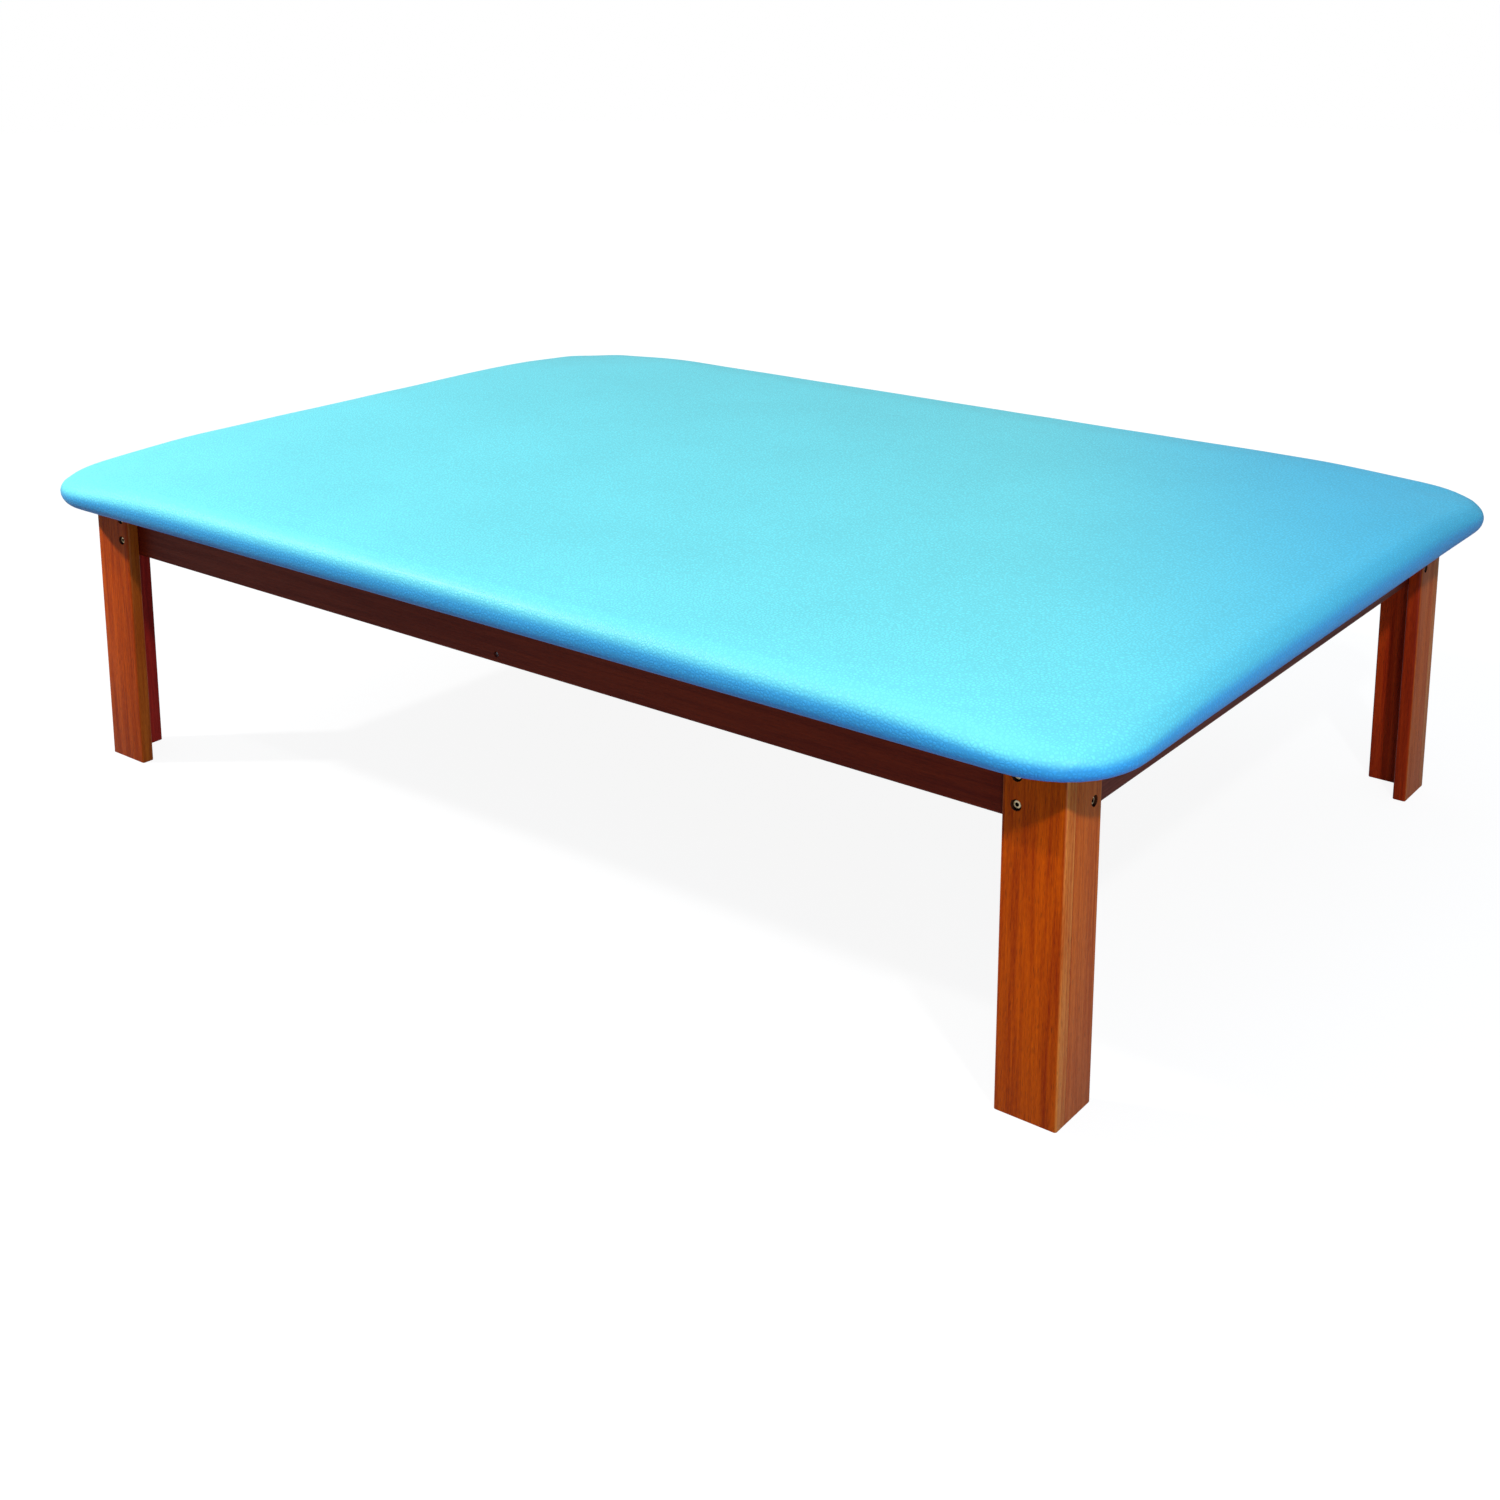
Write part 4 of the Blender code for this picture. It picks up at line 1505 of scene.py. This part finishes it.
@dataclass
class Hardware:
    """Every fastener of the table: leg bolts and nuts, rail screws, and the brackets with their screws."""

    ends: tuple[str, ...] = ("front_left", "front_right", "rear_left", "rear_right")
    levels: tuple[str, ...] = ("lower", "upper")
    bracket_nodes: tuple[str, ...] = (
        "front_bracket_1",
        "front_bracket_2",
        "rear_bracket_1",
        "rear_bracket_2",
        "left_bracket",
        "right_bracket",
    )
    bracket_thickness: float = 2 * MM
    bracket_hole: float = 27 * MM

    def leg_places(self) -> list[str]:
        """Name the places of the legs' bolts.

        Returns:
            The names of their nodes, without the last word.
        """
        return [
            f"{end}_leg_{side}_{level}"
            for end in self.ends
            for side in (end.split("_")[0], "side")
            for level in self.levels
        ]

    def bolt_stems(self) -> list[Stem]:
        """The places of all the leg bolts."""
        return [Stem(f"{place}_bolt", CapScrew.head_height) for place in self.leg_places()]

    def build_leg_bolts(self) -> None:
        """Put the cap screws and their flange nuts in."""
        screw, nut = CapScrew(), FlangeNut()
        for place, stem in zip(self.leg_places(), self.bolt_stems()):
            screw.place(f"{place}_cap_screw", [stem.seat], stem.node)
            low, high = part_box(f"{place}_nut")
            outward = stem.seat.to_3x3() @ OUT
            half = abs((high - low).dot(outward)) / 2
            nut_seat = stem.seat
            nut_seat.translation = (low + high) / 2 + outward * half
            nut.place(f"{place}_flange_nut", [nut_seat], f"{place}_nut")

    def build_rail_screws(self) -> None:
        """Put the cross rail's screws in."""
        screw = RailScrew()
        for side in ("front", "rear"):
            for level in self.levels:
                name = f"cross_rail_{side}_{level}_screw"
                screw.place(f"{name}_finished", [Stem(name, 0.0).seat], name)

    def bracket_seats(self, node: str) -> list[Matrix]:
        """The seats of a bracket's two screws.

        Args:
            node: The bracket's CAD node.

        Returns:
            The seat on the apron's leaf, and the one on the panel's leaf.
        """
        low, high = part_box(node)
        middle = (low + high) / 2
        axis = 0 if node in ("left_bracket", "right_bracket") else 1
        inward = Vector((0, 0, 0))
        inward[axis] = -math.copysign(1, middle[axis])
        wall = low[axis] if inward[axis] > 0 else high[axis]
        on_apron = middle.copy()
        on_apron[axis] = wall + inward[axis] * self.bracket_thickness
        on_apron.z = high.z - self.bracket_hole
        on_panel = middle.copy()
        on_panel[axis] = wall + inward[axis] * self.bracket_hole
        on_panel.z = high.z - self.bracket_thickness
        return [facing_frame(on_apron, inward), facing_frame(on_panel, -OUT)]

    def build_brackets(self) -> None:
        """Dress the brackets and screw them down."""
        seats = []
        for node in self.bracket_nodes:
            dress_node(node, ZINC_STEEL)
            seats += self.bracket_seats(node)
        PanHeadScrew().place("bracket_screws", seats)

    def build(self) -> None:
        """Put every fastener in."""
        self.build_leg_bolts()
        self.build_rail_screws()
        self.build_brackets()


class Tone(Enum):
    """How the stain came out: the dark of the soft bands and the light of the hard ones. All but the leg
    boards' fronts also paint light and shade onto the stain, and the aprons' is a darker stain too.
    """

    LEG_FACE = ("#9E2900", "#EA6200")
    # The side boards are painted paler and browner, as painted light from the right
    LEG_SIDE_PAINTED_LIGHT = ("#C44608", "#F4761E")
    # The aprons' tone is a darker stain and also painted shade, for the shade under the pad
    APRON_STAIN_AND_PAINTED_SHADE = ("#64170A", "#8C2C0E")
    # Painted light and shade: pale edges on the right legs, dim ones on the left, red front edges, red inner
    # faces
    PAINTED_LIT_EDGE = ("#D05410", "#FF9844")
    PAINTED_DIM_EDGE = ("#9C3A08", "#D06A1C")
    RED_EDGE_PAINTED_LIGHT = ("#8C1E06", "#CC3E0C")
    INNER_SIDE_PAINTED_SHADE = ("#8E1210", "#CC2E20")
    INNER_FACE_PAINTED_LIGHT_AND_SHADE = ("#AC260A", "#E85014")


@dataclass
class Timber:
    """The frame's boards: the legs' are made anew with round counterbores, the rest keep their nodes."""

    bolts: list[Stem]
    long_edge: float = 3.5 * MM
    long_edge_segments: int = 4
    end_edge: float = 0.8 * MM
    end_edge_segments: int = 2
    counterbore_radius: float = 6.8 * MM
    counterbore_depth: float = 9.0 * MM
    rim: float = 0.4 * MM
    # How far the bolt's head stands off the counterbore's floor, and how far the cutter reaches out
    seat_gap: float = 0.3 * MM
    overshoot: float = 2 * MM
    bore: float = 3.3 * MM
    bore_depth: float = 30 * MM
    sides: int = 48
    # How far the grain moves from one board to the next, in metres
    grain_step: Point = (17.3, 5.9, 11.1)

    def finish(self, node: str, number: int, grain: Grain, tone: Tone, *sides: Side) -> StainedHardwood:
        """The finish of one board, with its own stretch of grain.

        Args:
            node: The board's CAD node.
            number: The board's number, which moves its grain.
            grain: Which way the grain runs.
            tone: How the stain came out, with painted light and shade on some boards.
            *sides: The faces that are painted light and shade of their own, by which way they look.

        Returns:
            The finish.
        """
        shift = tuple(step * number for step in self.grain_step)
        dark, light = tone.value
        return StainedHardwood(
            f"stained_meranti_{node}",
            "hardwood",
            0.42,
            grain=grain,
            shift=shift,
            dark=dark,
            light=light,
            sides=sides,
        )

    def counterbore(self, seat: Matrix) -> bmesh.types.BMesh:
        """The cutter of one counterbore and its bore.

        Args:
            seat: The frame at the bolt head's seat.

        Returns:
            The cutter's mesh.
        """
        cutter = bmesh.new()
        face = self.counterbore_depth - self.seat_gap
        profile = [
            (0, face + self.overshoot),
            (self.counterbore_radius + self.rim + self.overshoot, face + self.overshoot),
            (self.counterbore_radius, face - self.rim),
            (self.counterbore_radius, -self.seat_gap),
            (self.bore, -self.seat_gap),
            (self.bore, -self.bore_depth),
            (0, -self.bore_depth),
        ]
        verts = spun(cutter, profile, self.sides)
        bmesh.ops.transform(cutter, matrix=seat, verts=verts)
        return cutter

    def is_joined(self, at: Vector, board: Vector, laps: bool) -> bool:
        """Whether an upright edge of a leg board lies where the leg's boards meet, and so stays sharp.

        Args:
            at: The edge's middle.
            board: The board's middle.
            laps: Whether the board laps over the end of the other one.

        Returns:
            True where the boards meet.
        """
        outside = abs(at.y) > abs(board.y)
        if laps:
            return abs(at.x) > abs(board.x) and not outside
        return outside

    def build_leg_board(self, node: str, finish: StainedHardwood, laps: bool) -> None:
        """Make one leg board, with its edges eased and its counterbores drilled.

        Args:
            node: The CAD node that it stands for.
            finish: Its finish.
            laps: Whether it laps over the end of the leg's other board.
        """
        low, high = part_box(node)
        middle, size = (low + high) / 2, high - low
        shape = bmesh.new()
        place = Matrix.Translation(middle) @ Matrix.Diagonal(size).to_4x4()
        bmesh.ops.create_cube(shape, size=1, matrix=place)
        long_edges = []
        for edge in shape.edges:
            start, end = (vert.co for vert in edge.verts)
            upright = abs((end - start).normalized().z) > MOSTLY
            if upright and not self.is_joined((start + end) / 2, middle, laps):
                long_edges.append(edge)
        eased(shape, long_edges, self.long_edge, self.long_edge_segments)
        end_edges = [
            edge for edge in shape.edges if sum(abs(face.normal.z) > MOSTLY for face in edge.link_faces) == 1
        ]
        eased(shape, end_edges, self.end_edge, self.end_edge_segments)
        piece = as_piece(f"{node}_finished", shape, finish, node)
        thin = 0 if size.x < size.y else 1
        for bolt in self.bolts:
            point, outward = bolt.seat.translation, bolt.seat.to_3x3() @ OUT
            inside = all(low[axis] < point[axis] < high[axis] for axis in range(3))
            if inside and abs(outward[thin]) > MOSTLY:
                combine(piece, self.counterbore(bolt.seat), inside=COUNTERBORE_PAINTED_SHADE)

    def build_legs(self) -> None:
        """Make the two boards of each leg: the face board, which laps over the end of the side board."""
        number = 0
        for across, face_inward in (("front", 1), ("rear", -1)):
            for along, side_inward in (("left", 1), ("right", -1)):
                leg = f"{across}_{along}_leg"
                # Painted light and shade: pale or dim edges by leg, red side-board edges, deeper red inner
                # faces
                painted_edge_light = Tone.PAINTED_LIT_EDGE if along == "right" else Tone.PAINTED_DIM_EDGE
                face_looks = (
                    Side((1, 0, 0), *painted_edge_light.value, both_ways=True),
                    Side((0, face_inward, 0), *Tone.INNER_FACE_PAINTED_LIGHT_AND_SHADE.value),
                )
                side_looks = (
                    Side((0, 1, 0), *Tone.RED_EDGE_PAINTED_LIGHT.value, both_ways=True),
                    Side((side_inward, 0, 0), *Tone.INNER_SIDE_PAINTED_SHADE.value),
                )
                for node, tone, looks, laps in (
                    (f"{leg}_{across}_board", Tone.LEG_FACE, face_looks, True),
                    (f"{leg}_side_board", Tone.LEG_SIDE_PAINTED_LIGHT, side_looks, False),
                ):
                    number += 1
                    finish = self.finish(node, number, Grain.ALONG_Z, tone, *looks)
                    self.build_leg_board(node, finish, laps)

    def dress_aprons(self) -> None:
        """Stain the aprons and the cross rail darker: partly a darker stain, partly painted shade under the
        pad.
        """
        boards = {
            "front_apron": Grain.ALONG_X,
            "rear_apron": Grain.ALONG_X,
            "left_apron": Grain.ALONG_Y,
            "right_apron": Grain.ALONG_Y,
            "cross_rail": Grain.ALONG_Y,
        }
        for number, (node, grain) in enumerate(boards.items(), start=20):
            dress_node(node, self.finish(node, number, grain, Tone.APRON_STAIN_AND_PAINTED_SHADE))

    def build(self) -> None:
        """Make or dress every board."""
        self.build_legs()
        self.dress_aprons()


# The studio


@dataclass(frozen=True)
class Lamp:
    """A square soft light: where it hangs, the point it looks at, its side in metres and its watts."""

    name: str
    place: Point
    aimed_at: Point
    size: float
    power: float
    colour: str = WHITE

    def hang(self) -> None:
        """Hang it in the scene."""
        data = bpy.data.lights.new(self.name, "AREA")
        data.shape = "SQUARE"
        data.size = self.size
        data.energy = self.power
        data.color = linear(self.colour)[:3]
        lamp = bpy.data.objects.new(self.name, data)
        lamp.location = self.place
        toward = Vector(self.aimed_at) - Vector(self.place)
        lamp.rotation_euler = toward.to_track_quat("-Z", "Y").to_euler()
        bpy.context.scene.collection.objects.link(lamp)


@dataclass
class Studio:
    """A pale floor, white surroundings, a lamp on each side, two low soft boxes, and the camera."""

    eye: Point = (1.8901, -2.4589, 1.3377)
    aim: Point = (-0.59829, 0.77429, -0.2062)
    lens: float = 46.63
    rise: float = -0.25
    # The surroundings' brightness overhead and at the horizon, and what the right side has of the left's
    overhead: float = 1.3
    overhead_colour: str = "#E4F1FF"
    horizon: float = 0.12
    right_share: float = 0.45
    horizon_colour: str = "#8CBEFF"
    # Under the table the floor looks mostly an even white of its own, and between these distances from
    # the middle that grows to all of it. The table itself gets its light from a duller grey.
    floor_radius: float = 14
    floor_lift: float = 0.86
    lifted_from: float = 1.2
    lifted_to: float = 3.0
    floor_white: float = 1.06
    floor_bounce: str = "#707070"
    # How much of the white backdrop shows in reflections. More of it would veil the cover and varnish.
    mirrored_share: float = 0.4
    lamps: tuple[Lamp, ...] = (
        Lamp("left_lamp", (-2.5, -2.0, 2.7), (-0.2, -0.2, 0.4), 0.16, 81),
        Lamp("right_lamp", (2.75, -2.05, 3.0), (0.2, -0.2, 0.4), 0.16, 53),
        Lamp("front_box", (2.5, -3.0, 1.0), (1.1, -0.5, 0.4), 0.5, 12),
        Lamp("right_window", (3.3, -1.9, 0.5), (0.9, -0.2, 0.45), 1.0, 25, "#8CC8FF"),
    )

    def build_camera(self) -> None:
        """Stand the camera where the photograph was taken from."""
        data = bpy.data.cameras.new("camera")
        data.sensor_width = 36
        data.lens = self.lens
        data.shift_y = self.rise
        data.clip_end = 100
        camera = bpy.data.objects.new("camera", data)
        camera.location = self.eye
        camera.rotation_euler = Vector(self.aim).to_track_quat("-Z", "Y").to_euler()
        bpy.context.scene.collection.objects.link(camera)
        bpy.context.scene.camera = camera

    def backdrop_share(self, tree: bpy.types.NodeTree) -> bpy.types.NodeSocket:
        """Tell how much of the white backdrop a ray sees, rather than what lights the table.

        Args:
            tree: The node tree of the floor or the world.

        Returns:
            1 for a ray straight from the camera or through glass, the mirrored share for a reflection,
            and 0 for the light that falls on the table.
        """
        ray = add_node(tree, "ShaderNodeLightPath").outputs
        straight = worked_out(tree, "MAXIMUM", ray["Is Camera Ray"], ray["Is Transmission Ray"])
        mirrored = worked_out(tree, "MULTIPLY", ray["Is Glossy Ray"], self.mirrored_share)
        return worked_out(tree, "MAXIMUM", straight, mirrored)

    def build_world(self) -> None:
        """Light the table softly from overhead, and show plain white behind it."""
        world = bpy.data.worlds.new("studio")
        bpy.context.scene.world = world
        world.use_nodes = True
        tree = world.node_tree
        tree.nodes.clear()
        seen = self.backdrop_share(tree)
        toward = add_node(tree, "ShaderNodeTexCoord").outputs["Generated"]
        parts = add_node(tree, "ShaderNodeSeparateXYZ", {"Vector": toward}).outputs
        glow = spread(tree, parts["Z"], 0.4, 1.0, self.horizon, self.overhead)
        fading = spread(tree, parts["X"], -0.5, 0.6, 1.0, self.right_share)
        dimmed = worked_out(tree, "MULTIPLY", glow, fading)
        rightward = spread(tree, parts["X"], -0.7, 0.3)
        low_down = blended(tree, rightward, linear(WHITE), linear(self.horizon_colour))
        cool = blended(tree, spread(tree, parts["Z"], 0.0, 0.8), low_down, linear(self.overhead_colour))
        tint = blended(tree, seen, cool, linear(WHITE))
        level = add_node(tree, "ShaderNodeMapRange", {"Value": seen, "To Min": dimmed, "To Max": 1.0})
        sockets = {"Color": tint, "Strength": level.outputs["Result"]}
        light = add_node(tree, "ShaderNodeBackground", sockets)
        add_node(tree, "ShaderNodeOutputWorld", {"Surface": light.outputs["Background"]})

    def build_floor(self) -> None:
        """Lay a floor that looks white and keeps the table's shadow, but throws little light back up."""
        shape = bmesh.new()
        bmesh.ops.create_circle(shape, cap_ends=True, segments=96, radius=self.floor_radius)
        mesh = bpy.data.meshes.new("floor")
        shape.to_mesh(mesh)
        shape.free()
        floor = bpy.data.objects.new("floor", mesh)
        bpy.context.scene.collection.objects.link(floor)
        material = bpy.data.materials.new("matt_white_floor")
        material.use_nodes = True
        tree = material.node_tree
        tree.nodes.clear()
        mesh.materials.append(material)
        place = add_node(tree, "ShaderNodeTexCoord").outputs["Object"]
        reach = add_node(tree, "ShaderNodeVectorMath", {0: place}, operation="LENGTH").outputs["Value"]
        white_share = spread(tree, reach, self.lifted_from, self.lifted_to, self.floor_lift, 1.0)
        bounce, paint = (
            add_node(tree, "ShaderNodeBsdfDiffuse", {"Color": linear(colour)}).outputs["BSDF"]
            for colour in (self.floor_bounce, WHITE)
        )
        even = {"Color": linear(WHITE), "Strength": self.floor_white}
        white = add_node(tree, "ShaderNodeEmission", even).outputs["Emission"]
        shown = add_node(tree, "ShaderNodeMixShader", {0: white_share, 1: paint, 2: white}).outputs["Shader"]
        seen = self.backdrop_share(tree)
        either = add_node(tree, "ShaderNodeMixShader", {0: seen, 1: bounce, 2: shown}).outputs["Shader"]
        add_node(tree, "ShaderNodeOutputMaterial", {"Surface": either})

    def build(self) -> None:
        """Set up the whole studio."""
        self.build_camera()
        self.build_world()
        self.build_floor()
        for lamp in self.lamps:
            lamp.hang()
        bpy.context.scene.view_settings.view_transform = "Standard"


def main() -> None:
    """Build the pad, the frame and the studio, in order."""
    Pad().build()
    dress_node("top_panel", PLYWOOD)
    hardware = Hardware()
    Timber(hardware.bolt_stems()).build()
    hardware.build()
    Studio().build()


if __name__ == "__main__":
    logging.basicConfig(level=logging.INFO, format="%(message)s")
    main()
